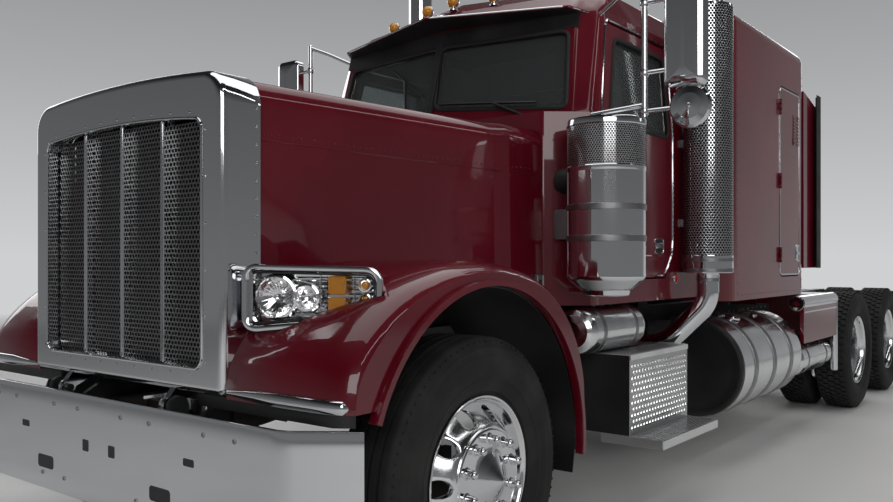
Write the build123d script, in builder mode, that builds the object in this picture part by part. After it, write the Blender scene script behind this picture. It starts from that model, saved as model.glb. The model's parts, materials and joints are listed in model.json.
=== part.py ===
# Semi truck tractor unit with a long hood, a day cab and a separate sleeper.
# Millimetres. +X is forward, +Y is the truck's left side, +Z is up.
# The ground is z = 0, and x = 0 is half way along the truck.
from build123d import *

import os
from math import atan2, cos, radians, sin

os.makedirs("parts", exist_ok=True)

# Overall places. Stations are distances behind the front axle.
front_reach = 850.0          # front axle to the bumper's face
rear_reach = 7700.0          # front axle to the mud flaps' hangers
front_axle_x = (rear_reach - front_reach) / 2
first_drive_station = 5672.0
tandem_spacing = 1320.0
axle_height = 515.0
running_gap = 9.0            # round a door, so that its rear edge swings clear
seat_gap = 0.3               # between curved faces of different pieces


def aft(station):
    """X at a distance behind the front axle; negative lies ahead of it."""
    return front_axle_x - station


drive_x = (aft(first_drive_station), aft(first_drive_station + tandem_spacing))
tandem_mid_station = first_drive_station + tandem_spacing / 2

# Frame
rail_outer_y = 430.0
rail_height = 270.0
rail_flange = 90.0
rail_web = 12.0
rail_top_z = 990.0
rail_bottom_z = rail_top_z - rail_height
rail_front_station = -560.0
rail_rear_station = 7630.0
cross_depth = 130.0
cross_width = 150.0
cross_stations = (-470.0, 2350.0, 3400.0, 4500.0, 5150.0, 6332.0, 7540.0)

# Bumper
bumper_top_z = 800.0
bumper_bottom_z = 395.0
bumper_flat_y = 1010.0
bumper_tip_y = 1215.0
bumper_tip_back = 150.0
bumper_wall = 8.0
bumper_corner_r = 140.0
bracket_wall = 25.0
bracket_y = rail_outer_y - rail_web - bracket_wall / 2

# Hood pivot, just behind the bumper's top edge
hood_pivot_station = -780.0
hood_pivot_z = 800.0
hood_pivot_y = 330.0
hinge_ear_r = 38.0
hinge_pin_r = 14.0

# Tyres and rims
tyre_r = 515.0
tyre_width = 285.0
rim_r = 286.0
rim_lip_r = 298.0
rim_wall = 12.0
rim_width = 228.0
steer_rim_face_y = 1142.0
drive_rim_face_y = 1197.0
dual_spacing = 343.0
rim_lip_t = 10.0
hand_holes = 10
drive_hole_r = 30.0
drive_hole_pcr = 205.0
steer_hole_r = 34.0
steer_hole_pcr = 229.0
disc_t = 22.0
kingpin_y = 880.0
drum_r = 200.0
drum_width = 150.0
mount_reach = 57.0           # from the near flange out to a drive disc's mounting face
axle_tube_r = 72.0
hub_bore_end = rim_width + mount_reach + 40
pin_clearance = 0.1

# Cab
cab_half_y = 950.0
cab_wall = 55.0
cab_bottom_z = 1085.0
cab_belt_z = 2045.0
cab_eave_z = 2600.0
cab_brow_z = 2720.0
cab_roof_z = 2790.0
cab_rear_station = 2620.0
cowl_front_station = 1060.0
glass_t = 8.0

# Sleeper
sleeper_front_station = 2740.0
sleeper_rear_station = 4450.0
sleeper_half_y = 1080.0
sleeper_bottom_z = 1050.0
sleeper_roof_z = 2920.0
sleeper_wall = 50.0

# The way through between the cab and the sleeper
pass_half_y = 430.0
pass_low_z = 1260.0
pass_high_z = 2450.0

# Grille crown and hood
crown_front_station = -770.0
crown_depth = 165.0
hood_front_station = crown_front_station + crown_depth
hood_rear_station = 1045.0
hood_shoulder_r = 100.0
hood_wall = 22.0

# Fenders
arch_r = 655.0
arch_station = 0.0
arch_z = 567.0
fender_outer_y = 1185.0
fender_lip_y = 1205.0
fender_wall = 18.0

part_names = []


def write(builder, name):
    """Labels a finished piece and writes its STEP file."""
    builder.part.label = name
    export_step(builder.part, f"parts/{name}.step")
    part_names.append(name)


def box(x_low, x_high, y_low, y_high, z_low, z_high, mode=Mode.ADD):
    """A block between two corners, inside the current part."""
    middle = ((x_low + x_high) / 2, (y_low + y_high) / 2, (z_low + z_high) / 2)
    with Locations(middle):
        Box(x_high - x_low, y_high - y_low, z_high - z_low, mode=mode)


def prism(plane, points, amount, both=False, radius=0.0, mode=Mode.ADD):
    """An outline on a plane, its corners rounded if asked, extruded into the current part."""
    with BuildSketch(plane) as outline:
        with BuildLine():
            Polyline(*points, close=True)
        make_face()
        if radius > 0:
            fillet(outline.vertices(), radius)
    extrude(outline.sketch, amount=amount, both=both, mode=mode)


def rod(start, end, radius, mode=Mode.ADD):
    """A round bar between two points, inside the current part."""
    run = Vector(*end) - Vector(*start)
    with BuildSketch(Plane(origin=start, z_dir=run)) as section:
        Circle(radius)
    extrude(section.sketch, amount=run.length, mode=mode)


def side_plane(y):
    """A plane at a distance to the left; its own X is +X, its own Y is +Z and it faces -Y."""
    return Plane.XZ.offset(-y)


def station_face(points):
    """Left-hand (station, y) points turned into a closed outline that is the same on both sides."""
    left = [(aft(station), y) for station, y in points]
    right = [(x, -y) for x, y in reversed(left) if y > 0]
    return left + right


def level_outline(z, points, inset=0.0, radii=()):
    """A level face from left-hand (station, y) points, drawn in by an inset and rounded by listed radii."""
    with BuildSketch(Plane.XY.offset(z)) as outline:
        with BuildLine():
            Polyline(*station_face(points), close=True)
        make_face()
        if inset:
            offset(amount=-inset, kind=Kind.INTERSECTION)
        corners = sorted((corner for corner in outline.vertices() if abs(corner.Y) > 100), key=lambda c: -c.X)
        spots = [(corner.X, corner.Y) for corner in corners]
        for number, radius in enumerate(radii):
            if radius - inset > 1:
                for x, y in spots[2 * number:2 * number + 2]:
                    corner = [c for c in outline.vertices() if abs(c.X - x) < 0.5 and abs(c.Y - y) < 0.5]
                    fillet(corner, radius - inset)
    return outline.sketch


def both_sides(make):
    """The left-hand piece and its mirror image, in one part."""
    with BuildPart() as pair:
        left = make()
        add(left)
        add(mirror(left, about=Plane.XZ))
    return pair


# Door hinges: a pin in two end knuckles on the wall, and a middle knuckle on the door
door_hinge_out = 13.0        # the pin's distance out from the wall
door_hinge_r = 8.0
door_pin_r = 4.0
door_hinge_half = 55.0
door_knuckle_half = 25.0
leaf_length = 18.0           # short enough to miss the air cleaner
leaf_t = 8.0


def wall_hinge(station, wall_y, z):
    """The half of a left door's hinge that stays on the wall ahead of it, with its pin."""
    x = aft(station)
    y = wall_y + door_hinge_out
    with BuildPart() as half:
        rod((x, y, z - door_hinge_half), (x, y, z + door_hinge_half), door_pin_r)
        for low, high in ((-door_hinge_half, -door_knuckle_half), (door_knuckle_half, door_hinge_half)):
            rod((x, y, z + low), (x, y, z + high), door_hinge_r)
            box(x + 1, x + leaf_length, wall_y, wall_y + leaf_t, z + low, z + high)
    return half.part


def door_hinge(station, wall_y, z):
    """The half of a left door's hinge that turns with the door."""
    x = aft(station)
    y = wall_y + door_hinge_out
    half_length = door_knuckle_half - seat_gap
    with BuildPart() as half:
        rod((x, y, z - half_length), (x, y, z + half_length), door_hinge_r)
        box(x - leaf_length, x - 1, wall_y, wall_y + leaf_t, z - half_length, z + half_length)
        rod((x, y, z - half_length - 1), (x, y, z + half_length + 1), door_pin_r + pin_clearance,
            mode=Mode.SUBTRACT)
    return half.part


# Frame: two channel rails and their crossmembers, with the bumper's brackets
frame_mounts = (
    (1250.0, cab_bottom_z), (2450.0, cab_bottom_z),
    (2900.0, sleeper_bottom_z), (4300.0, sleeper_bottom_z),
)
with BuildPart() as frame:
    for side in (1, -1):
        y0 = side * rail_outer_y
        y1 = side * (rail_outer_y - rail_web)
        y2 = side * (rail_outer_y - rail_flange)
        prism(Plane.YZ.offset(aft(rail_rear_station)), [
            (y0, rail_bottom_z), (y2, rail_bottom_z), (y2, rail_bottom_z + rail_web),
            (y1, rail_bottom_z + rail_web), (y1, rail_top_z - rail_web),
            (y2, rail_top_z - rail_web), (y2, rail_top_z), (y0, rail_top_z),
        ], rail_rear_station - rail_front_station)
    for station in cross_stations:
        box(aft(station) - cross_width / 2, aft(station) + cross_width / 2,
            -rail_outer_y + rail_web, rail_outer_y - rail_web,
            rail_top_z - rail_web - cross_depth, rail_top_z - rail_web)
    for station, top_z in frame_mounts:
        for side in (1, -1):
            mount_y = side * (rail_outer_y - 45)
            box(aft(station) - 70, aft(station) + 70, mount_y - 40, mount_y + 40, rail_top_z - 5, top_z)
    # The bumper's brackets drop ahead of the rails and carry the hood's pivot ears.
    for side in (1, -1):
        prism(side_plane(side * bracket_y), [
            (aft(-360), rail_bottom_z + rail_web), (aft(-360), rail_top_z - rail_web),
            (aft(rail_front_station), rail_top_z - rail_web),
            (aft(-620), 790), (aft(-700), 745),
            (aft(-front_reach) - bumper_wall, 745),
            (aft(-front_reach) - bumper_wall, 470), (aft(-700), 470),
            (aft(rail_front_station) - 10, rail_bottom_z + rail_web),
        ], bracket_wall / 2, both=True)
        with BuildSketch(side_plane(side * bracket_y)) as ear:
            with Locations((aft(hood_pivot_station), hood_pivot_z)):
                Circle(hinge_ear_r)
            with Locations((aft(hood_pivot_station), hood_pivot_z - 40)):
                Rectangle(2 * hinge_ear_r, 80)
        extrude(ear.sketch, amount=bracket_wall / 2, both=True)
        rod((aft(hood_pivot_station), side * (bracket_y - 5), hood_pivot_z),
            (aft(hood_pivot_station), side * (hood_pivot_y - 10), hood_pivot_z), hinge_pin_r)
write(frame, "frame")

# Bumper: one bent plate with wrapped ends
with BuildPart() as bumper:
    with BuildSketch(Plane.XY.offset(bumper_bottom_z)):
        with BuildLine():
            FilletPolyline(
                (aft(-front_reach) - bumper_tip_back, -bumper_tip_y), (aft(-front_reach), -bumper_flat_y),
                (aft(-front_reach), bumper_flat_y), (aft(-front_reach) - bumper_tip_back, bumper_tip_y),
                radius=bumper_corner_r,
            )
            offset(amount=bumper_wall, side=Side.LEFT)
        make_face()
    extrude(amount=bumper_top_z - bumper_bottom_z)
write(bumper, "bumper")

# Front suspension: a dropped beam axle on two leaf springs
spring_y = rail_outer_y - rail_flange / 2
spring_width = 76.0
spring_t = 60.0
spring_front_station = -540.0
spring_rear_station = 760.0
spring_end_z = rail_bottom_z - 40
spring_middle_z = axle_height - 20
beam_z = 440.0
beam_end = 40.0              # the boss round each kingpin
web_gap = 6.0                # from that boss to the knuckle's web
kingpin_r = 22.0
with BuildPart() as front_axle:
    prism(Plane.YZ.offset(aft(45)), [
        (-kingpin_y, axle_height - 60), (-kingpin_y, axle_height + 40),
        (-700, axle_height + 40), (-560, axle_height - 20), (560, axle_height - 20),
        (700, axle_height + 40), (kingpin_y, axle_height + 40), (kingpin_y, axle_height - 60),
        (700, axle_height - 60), (560, beam_z - 55), (-560, beam_z - 55), (-700, axle_height - 60),
    ], 90)
    for side in (1, -1):
        with BuildSketch(side_plane(side * spring_y)) as leaf:
            front_x = aft(spring_front_station)
            rear_x = aft(spring_rear_station)
            with BuildLine():
                ThreePointArc((front_x, spring_end_z), (aft(0), spring_middle_z), (rear_x, spring_end_z))
                ThreePointArc((front_x, spring_end_z + spring_t), (aft(0), spring_middle_z + spring_t),
                              (rear_x, spring_end_z + spring_t))
                Line((front_x, spring_end_z), (front_x, spring_end_z + spring_t))
                Line((rear_x, spring_end_z), (rear_x, spring_end_z + spring_t))
            make_face()
            with BuildLine():
                Polyline((front_x + 400, rail_bottom_z), (rear_x - 400, rail_bottom_z),
                         (rear_x - 400, rail_top_z), (front_x + 400, rail_top_z), close=True)
            make_face(mode=Mode.SUBTRACT)
        extrude(leaf.sketch, amount=spring_width / 2, both=True)
    for side in (1, -1):
        for station in (spring_front_station + 50, spring_rear_station - 50):
            box(aft(station) - 50, aft(station) + 50, side * spring_y - 40, side * spring_y + 40,
                rail_bottom_z - 60, rail_bottom_z)
    for side in (1, -1):
        y = side * kingpin_y
        rod((aft(0), y, axle_height - 60), (aft(0), y, axle_height + 40), beam_end)
        rod((aft(0), y, axle_height - 70), (aft(0), y, axle_height + 50), kingpin_r + pin_clearance,
            mode=Mode.SUBTRACT)
write(front_axle, "front_axle")

# Engine block, gearbox and driveshafts, plain because they are hidden
engine_half_y = 318.0
engine_rear_station = 960.0
gearbox_rear_station = 1950.0
bowl_reach = 190.0           # axle's centre to the face where a shaft bolts on
pinion_z = axle_height + 60
shaft_r = 52.0
yoke_length = 60.0
with BuildPart() as powertrain:
    box(aft(engine_rear_station), aft(-280), -engine_half_y, engine_half_y, 700, 1700)
    for side in (1, -1):
        foot_y = side * (engine_half_y + 11)
        box(aft(500), aft(300), foot_y - 12, foot_y + 11, 780, 900)
    prism(Plane.YZ.offset(aft(gearbox_rear_station)), [
        (-230, 650), (230, 650), (260, 900), (200, 1060), (-200, 1060), (-260, 900),
    ], gearbox_rear_station - engine_rear_station)
    yoke_station = first_drive_station - bowl_reach
    rod((aft(gearbox_rear_station), 0, 760), (aft(yoke_station - yoke_length), 0, pinion_z), shaft_r)
    rod((aft(yoke_station - yoke_length - 30), 0, pinion_z), (aft(yoke_station), 0, pinion_z), shaft_r + 10)
    rod((aft(first_drive_station + bowl_reach), 0, pinion_z),
        (aft(first_drive_station + tandem_spacing - bowl_reach), 0, pinion_z), shaft_r)
write(powertrain, "powertrain")

# Radiator and charge cooler behind the grille
with BuildPart() as radiator:
    box(aft(-430), aft(-560), -470, 470, rail_top_z, 1800)
    box(aft(-280), aft(-430), -300, 300, 1150, 1650)
write(radiator, "radiator")

# Drive axles: housings with their bowls, springs' beams and air bags
axle_end_y = drive_rim_face_y - hub_bore_end - 2
with BuildPart() as drive_axles:
    for x in drive_x:
        rod((x, -axle_end_y, axle_height), (x, axle_end_y, axle_height), axle_tube_r)
        with Locations((x, 0, axle_height)):
            Sphere(bowl_reach - 4)
        rod((x, 0, pinion_z), (x + bowl_reach, 0, pinion_z), 90)
        if x == drive_x[0]:
            rod((x, 0, pinion_z), (x - bowl_reach, 0, pinion_z), 80)
        for side in (1, -1):
            y = side * 385
            box(x - 420, x + 320, y - 45, y + 45, axle_height - 130, axle_height - 50)
            rod((x - 330, y, axle_height - 50), (x - 330, y, rail_bottom_z), 40)
            rod((x + 60, y, axle_height - 60), (x + 60, y, rail_bottom_z), 26)
            box(x + 230, x + 330, y - 42, y + 42, axle_height - 60, rail_bottom_z)
write(drive_axles, "drive_axles")

# Cab: hollow, with a flat side below the belt and leaned-in sides above it
eave_half_y = 905.0
cab_low = [(cowl_front_station, 0.0), (cowl_front_station, 745.0), (1235.0, cab_half_y),
           (cab_rear_station, cab_half_y)]
cab_belt = [(1085.0, 0.0), (1190.0, 840.0), (1235.0, cab_half_y), (cab_rear_station, cab_half_y)]
cab_eave = [(1215.0, 0.0), (1315.0, 800.0), (1400.0, eave_half_y), (cab_rear_station, eave_half_y)]
cab_brow = [(1290.0, 0.0), (1440.0, 760.0), (1510.0, 868.0), (cab_rear_station, 868.0)]
cab_roof = [(1400.0, 0.0), (1560.0, 640.0), (1650.0, 760.0), (cab_rear_station, 775.0)]
cab_radii = (30.0, 60.0, 50.0)   # beside the windscreen, at the side's front, at the rear
cab_floor_t = 40.0
cowl_skin_t = 30.0
roof_t = 45.0


def cab_block(inset, low_z, cowl_z, roof_z):
    """The cab's outside, or with an inset its inside."""
    levels = [(cab_belt_z, cab_belt), (cab_eave_z, cab_eave), (cab_brow_z, cab_brow), (roof_z, cab_roof)]
    faces = [level_outline(z, points, inset, cab_radii) for z, points in levels]
    with BuildPart() as block:
        extrude(level_outline(low_z, cab_low, inset, cab_radii), amount=cowl_z - low_z)
        if cowl_z < cab_belt_z:
            extrude(level_outline(cowl_z, cab_belt, inset, cab_radii), amount=cab_belt_z - cowl_z)
        for low_face, high_face in zip(faces, faces[1:]):
            loft([low_face, high_face], ruled=True)
    return block.part


cab_outer = cab_block(0.0, cab_bottom_z, cab_belt_z, cab_roof_z)
cab_inner = cab_block(cab_wall, cab_bottom_z + cab_floor_t, cab_belt_z - cowl_skin_t, cab_roof_z - roof_t)
cab_clear = cab_block(-seat_gap, cab_bottom_z, cab_belt_z, cab_roof_z + seat_gap)

door_front_low = 1285.0
door_front_high = 1420.0
door_rear = 2185.0
door_low_z = 1205.0
door_high_z = 2545.0
door_outline = [
    (aft(door_front_low), door_low_z), (aft(door_rear - 120), door_low_z),
    (aft(door_rear), door_low_z + 150), (aft(door_rear), door_high_z),
    (aft(door_front_high), door_high_z), (aft(door_front_low), cab_belt_z - 60),
]
window_low_z = 2010.0
window_outline = [
    (aft(door_front_low + 85), window_low_z), (aft(door_rear - 70), window_low_z),
    (aft(door_rear - 70), door_high_z - 70), (aft(door_front_high + 75), door_high_z - 70),
]


# The windscreen's pane on one side: distances out from the centre post and up from the belt
pane_corners = [(22.0, 100.0), (812.0, 35.0), (785.0, 455.0), (22.0, 462.0)]
pane_corner_r = 45.0


def pane_plane(side):
    """The plane of one half of the windscreen, its origin at the foot of the centre post."""
    foot = Vector(aft(cab_belt[0][0]), 0, cab_belt_z)
    corner = Vector(aft(cab_belt[1][0]), side * cab_belt[1][1], cab_belt_z)
    head = Vector(aft(cab_eave[0][0]), 0, cab_eave_z)
    along = corner - foot
    facing = along.cross(head - foot)
    if facing.X < 0:
        facing = facing * -1
    return Plane(origin=foot, x_dir=along, z_dir=facing)


def pane_outline(side, inset):
    """The outline of one pane of the windscreen, in its own plane."""
    up = 1 if pane_plane(side).y_dir.Z > 0 else -1
    with BuildSketch(pane_plane(side)) as pane:
        with BuildLine():
            Polyline(*[(out, up * rise) for out, rise in pane_corners], close=True)
        make_face()
        fillet(pane.vertices(), pane_corner_r)
        if inset:
            offset(amount=-inset)
    return pane.sketch


door_hinge_station = door_front_low + running_gap / 2
door_hinge_heights = (1340.0, 1860.0)
with BuildPart() as cab_shell:
    add(cab_outer)
    add(cab_inner, mode=Mode.SUBTRACT)
    for side in (1, -1):
        prism(side_plane(side * (cab_half_y - 100)), door_outline, 170, both=True, mode=Mode.SUBTRACT)
        extrude(pane_outline(side, 0), amount=120, both=True, mode=Mode.SUBTRACT)
    box(aft(cab_rear_station + 10), aft(cab_rear_station - cab_wall - 10), -pass_half_y - 20,
        pass_half_y + 20, pass_low_z - 10, pass_high_z + 50, mode=Mode.SUBTRACT)
    for z in door_hinge_heights:
        half = wall_hinge(door_hinge_station, cab_half_y, z)
        add(half)
        add(mirror(half, about=Plane.XZ))
write(cab_shell, "cab_shell")

with BuildPart() as windshield:
    for side in (1, -1):
        extrude(pane_outline(side, seat_gap).moved(Location(pane_plane(side).z_dir * -24)), amount=-glass_t)
write(windshield, "windshield")


def cab_door():
    """The left door: the piece of the cab's wall inside its outline, less the running gap and the window."""
    with BuildPart() as door:
        add(cab_outer)
        add(cab_inner, mode=Mode.SUBTRACT)
        with BuildSketch(side_plane(cab_half_y + 60)) as outline:
            with BuildLine():
                Polyline(*door_outline, close=True)
            make_face()
            offset(amount=-running_gap, kind=Kind.INTERSECTION)
        extrude(outline.sketch, amount=240, mode=Mode.INTERSECT)
        prism(side_plane(cab_half_y + 60), window_outline, 300, radius=50, mode=Mode.SUBTRACT)
        for z in door_hinge_heights:
            add(door_hinge(door_hinge_station, cab_half_y, z))
    return door.part


def door_glass():
    """The left door's pane, in the middle of the door's thickness."""
    lean = atan2(cab_half_y - eave_half_y, cab_eave_z - cab_belt_z)
    at_belt = Plane(origin=(0, cab_half_y, cab_belt_z), x_dir=(1, 0, 0), z_dir=(0, -cos(lean), -sin(lean)))
    with BuildPart() as glass:
        with BuildSketch(side_plane(cab_half_y + 60)) as outline:
            with BuildLine():
                Polyline(*window_outline, close=True)
            make_face()
            fillet(outline.vertices(), 50)
            offset(amount=-seat_gap)
        extrude(outline.sketch, amount=300)
        with BuildSketch(at_belt.offset(24)) as slab:
            Rectangle(12000, 3000)
        extrude(slab.sketch, amount=glass_t, mode=Mode.INTERSECT)
    return glass.part


door_left_part = cab_door()
door_left_glass_part = door_glass()
with BuildPart() as door_left:
    add(door_left_part)
write(door_left, "door_left")
with BuildPart() as door_right:
    add(mirror(door_left_part, about=Plane.XZ))
write(door_right, "door_right")
with BuildPart() as door_glass_left:
    add(door_left_glass_part)
write(door_glass_left, "door_glass_left")
with BuildPart() as door_glass_right:
    add(mirror(door_left_glass_part, about=Plane.XZ))
write(door_glass_right, "door_glass_right")

# Sleeper: hollow, with rounded corners and a tall door in each side near its rear
sleeper_corner_r = 140.0
sleeper_eave_r = 90.0
boot_wall = 40.0
sleeper_length = sleeper_rear_station - sleeper_front_station
sleeper_mid_x = aft((sleeper_front_station + sleeper_rear_station) / 2)
locker_front = 3765.0
locker_rear = 4290.0
locker_low_z = 1190.0
locker_high_z = 2580.0
locker_r = 70.0
locker_mid_x = aft((locker_front + locker_rear) / 2)
locker_mid_z = (locker_low_z + locker_high_z) / 2
locker_hinge_station = locker_front + running_gap / 2
locker_hinge_heights = (1350.0, 1885.0, 2420.0)


def sleeper_block(inset, low_z, high_z):
    """The sleeper's outside, or with an inset its inside."""
    with BuildPart() as block:
        with BuildSketch(Plane.XY.offset(low_z)) as plan:
            with Locations((sleeper_mid_x, 0)):
                RectangleRounded(sleeper_length - 2 * inset, 2 * (sleeper_half_y - inset),
                                 sleeper_corner_r - inset)
        extrude(plan.sketch, amount=high_z - low_z)
        fillet(block.faces().sort_by(Axis.Z)[-1].edges(), sleeper_eave_r - inset)
    return block.part


sleeper_outer = sleeper_block(0.0, sleeper_bottom_z, sleeper_roof_z)
sleeper_inner = sleeper_block(sleeper_wall, sleeper_bottom_z + sleeper_wall, sleeper_roof_z - sleeper_wall)


def locker_outline(inset):
    """The sleeper door's outline, drawn in by an inset."""
    with BuildSketch(side_plane(sleeper_half_y + 40)) as outline:
        with Locations((locker_mid_x, locker_mid_z)):
            RectangleRounded(locker_rear - locker_front - 2 * inset, locker_high_z - locker_low_z - 2 * inset,
                             locker_r - inset)
    return outline.sketch


with BuildPart() as sleeper_shell:
    add(sleeper_outer)
    add(sleeper_inner, mode=Mode.SUBTRACT)
    # The boot that closes the gap to the cab's rear wall round the way through
    box(aft(sleeper_front_station + 10), aft(cab_rear_station), -pass_half_y - boot_wall,
        pass_half_y + boot_wall, pass_low_z - boot_wall, pass_high_z + boot_wall)
    box(aft(sleeper_front_station + sleeper_wall + 10), aft(cab_rear_station - 10), -pass_half_y, pass_half_y,
        pass_low_z, pass_high_z, mode=Mode.SUBTRACT)
    extrude(locker_outline(0), amount=140, mode=Mode.SUBTRACT)
    with BuildSketch(side_plane(-sleeper_half_y + 100)) as right_door:
        with Locations((locker_mid_x, locker_mid_z)):
            RectangleRounded(locker_rear - locker_front, locker_high_z - locker_low_z, locker_r)
    extrude(right_door.sketch, amount=140, mode=Mode.SUBTRACT)
    for z in locker_hinge_heights:
        half = wall_hinge(locker_hinge_station, sleeper_half_y, z)
        add(half)
        add(mirror(half, about=Plane.XZ))
write(sleeper_shell, "sleeper_shell")


def locker_door():
    """The left sleeper door, as thick as the wall."""
    with BuildPart() as door:
        add(sleeper_outer)
        add(sleeper_inner, mode=Mode.SUBTRACT)
        extrude(locker_outline(running_gap), amount=140, mode=Mode.INTERSECT)
        for z in locker_hinge_heights:
            add(door_hinge(locker_hinge_station, sleeper_half_y, z))
    return door.part


locker_door_part = locker_door()
with BuildPart() as sleeper_door_left:
    add(locker_door_part)
write(sleeper_door_left, "sleeper_door_left")
with BuildPart() as sleeper_door_right:
    add(mirror(locker_door_part, about=Plane.XZ))
write(sleeper_door_right, "sleeper_door_right")

# Side extenders behind the sleeper
extender_t = 35.0
extender_length = 330.0
extender_low_z = 1250.0
extender_high_z = 2640.0


def extender():
    """The left wing that closes the gap behind the sleeper's side."""
    with BuildPart() as wing:
        prism(side_plane(sleeper_half_y - sleeper_corner_r), [
            (aft(sleeper_rear_station), extender_low_z), (aft(sleeper_rear_station + 30), extender_low_z),
            (aft(sleeper_rear_station + 30), extender_high_z),
            (aft(sleeper_rear_station), extender_high_z + 15),
        ], -sleeper_corner_r + 10 + extender_t)
        prism(side_plane(sleeper_half_y - 10), [
            (aft(sleeper_rear_station - 20), extender_low_z),
            (aft(sleeper_rear_station + extender_length), extender_low_z),
            (aft(sleeper_rear_station + extender_length), extender_high_z - 80),
            (aft(sleeper_rear_station - 20), extender_high_z),
        ], extender_t)
        add(sleeper_outer, mode=Mode.SUBTRACT)
    return wing.part


side_extenders = both_sides(extender)
write(side_extenders, "side_extenders")

# Hood: a long crowned tunnel that narrows towards the grille
hood_low_z = 1100.0


# Each section: station, half width low and high, and the heights of its shoulder and its crown
hood_sections = [
    (hood_front_station, 628.0, 608.0, 1942.0, 1968.0), (715.0, 706.0, 690.0, 1947.0, 2013.0),
    (795.0, 742.0, 726.0, 1949.0, 2020.0), (hood_rear_station, 762.0, 746.0, 1950.0, 2035.0),
]


def hood_section(station, half_low, half_high, shoulder_z, crown_z, inset):
    """One section of the hood, drawn in by an inset and then open downwards."""
    shoulder = shoulder_z - inset
    low = hood_low_z - (10 if inset > 0 else 0)
    with BuildSketch(Plane.YZ.offset(aft(station))) as section:
        with BuildLine():
            Polyline((-half_high + inset, shoulder), (-half_low + inset, low), (half_low - inset, low),
                     (half_high - inset, shoulder))
            ThreePointArc((half_high - inset, shoulder), (0, crown_z - inset), (-half_high + inset, shoulder))
        make_face()
        fillet(section.vertices().group_by(Axis.Y)[-1], hood_shoulder_r - inset)
    return section.sketch


def hood_form(inset):
    """The hood's outside, or with an inset its inside."""
    with BuildPart() as form:
        loft([hood_section(*section, inset) for section in hood_sections], ruled=True)
    return form.part


with BuildPart() as hood_shell:
    add(hood_form(0))
    add(hood_form(hood_wall), mode=Mode.SUBTRACT)
write(hood_shell, "hood_shell")

# Grille crown: the bright frame round the screens, with three upright bars
crown_half_y = 635.0
crown_low_z = 853.0
crown_side_z = 1945.0
crown_top_z = 1975.0
opening_half_y = 529.0
opening_low_z = 937.0
opening_side_z = 1790.0
opening_top_z = 1818.0
crown_wall = 20.0
bar_width = 20.0
bar_depth = 28.0
bar_inset = 22.0
screen_t = 6.0
screen_rows = 10
screen_columns = 3
bar_pitch = 2 * opening_half_y / 4
lug_y = hood_pivot_y + 22.0
lug_t = 30.0
lug_r = 30.0


def crown_outline(x, half_y, low_z, side_z, top_z, low_r, top_r):
    """An upright outline with an arched top, in the plane at x."""
    with BuildSketch(Plane.YZ.offset(x)) as outline:
        with BuildLine():
            Polyline((-half_y, side_z), (-half_y, low_z), (half_y, low_z), (half_y, side_z))
            ThreePointArc((half_y, side_z), (0, top_z), (-half_y, side_z))
        make_face()
        fillet(outline.vertices().group_by(Axis.Y)[0], low_r)
        fillet(outline.vertices().group_by(Axis.Y)[-1], top_r)
    return outline.sketch


def opening_outline(x, grow):
    """The grille's opening, grown by a margin, in the plane at x."""
    return crown_outline(x, opening_half_y + grow, opening_low_z - grow, opening_side_z + grow,
                         opening_top_z + grow, 40 + grow, 40 + grow)


crown_x = aft(crown_front_station)
with BuildPart() as grille_crown:
    extrude(crown_outline(crown_x, crown_half_y, crown_low_z, crown_side_z, crown_top_z, 30, 110),
            amount=-crown_depth)
    fillet(grille_crown.faces().sort_by(Axis.X)[-1].edges(), 28)
    extrude(crown_outline(crown_x - crown_depth, crown_half_y - crown_wall, crown_low_z + crown_wall,
                          crown_side_z - crown_wall, crown_top_z - crown_wall, 12, 90),
            amount=crown_depth - crown_wall, mode=Mode.SUBTRACT)
    extrude(opening_outline(crown_x, crown_wall), amount=-crown_depth * 0.55)
    extrude(opening_outline(crown_x + 1, 0), amount=-crown_depth - 2, mode=Mode.SUBTRACT)
    for number in (-1, 0, 1):
        y = number * bar_pitch
        box(crown_x - bar_inset - bar_depth, crown_x - bar_inset, y - bar_width / 2, y + bar_width / 2,
            opening_low_z - 5, opening_top_z + 5)
    # Hinge lugs under the frame, round the pivot pins
    for side in (1, -1):
        pivot_x = aft(hood_pivot_station)
        with BuildSketch(side_plane(side * lug_y)) as lug:
            with BuildLine():
                Polyline((pivot_x - lug_r, hood_pivot_z), (pivot_x + lug_r, hood_pivot_z),
                         (pivot_x - 20, crown_low_z + 8), (crown_x - 110, crown_low_z + 8),
                         (crown_x - 110, crown_low_z - 8), close=True)
            make_face()
            with Locations((pivot_x, hood_pivot_z)):
                Circle(lug_r)
                Circle(hinge_pin_r + pin_clearance, mode=Mode.SUBTRACT)
        extrude(lug.sketch, amount=lug_t / 2, both=True)
write(grille_crown, "grille_crown")

# Screens behind the bars: slotted plates, one for each bay
with BuildPart() as grille_screens:
    screen_x = crown_x - bar_inset - bar_depth
    extrude(opening_outline(screen_x, -seat_gap), amount=-screen_t)
    bay = bar_pitch - bar_width
    slot_pitch_y = bay / screen_columns
    slot_pitch_z = (opening_side_z - opening_low_z) / screen_rows
    slots = [
        ((number + 0.5) * bar_pitch + (column - (screen_columns - 1) / 2) * slot_pitch_y,
         opening_low_z + (row + 0.5) * slot_pitch_z)
        for number in (-2, -1, 0, 1)
        for column in range(screen_columns)
        for row in range(screen_rows)
    ]
    with BuildSketch(Plane.YZ.offset(screen_x + 1)) as holes:
        with Locations(*slots):
            Rectangle(slot_pitch_y * 0.62, slot_pitch_z * 0.7)
    extrude(holes.sketch, amount=-screen_t - 2, mode=Mode.SUBTRACT)
write(grille_screens, "grille_screens")

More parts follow.
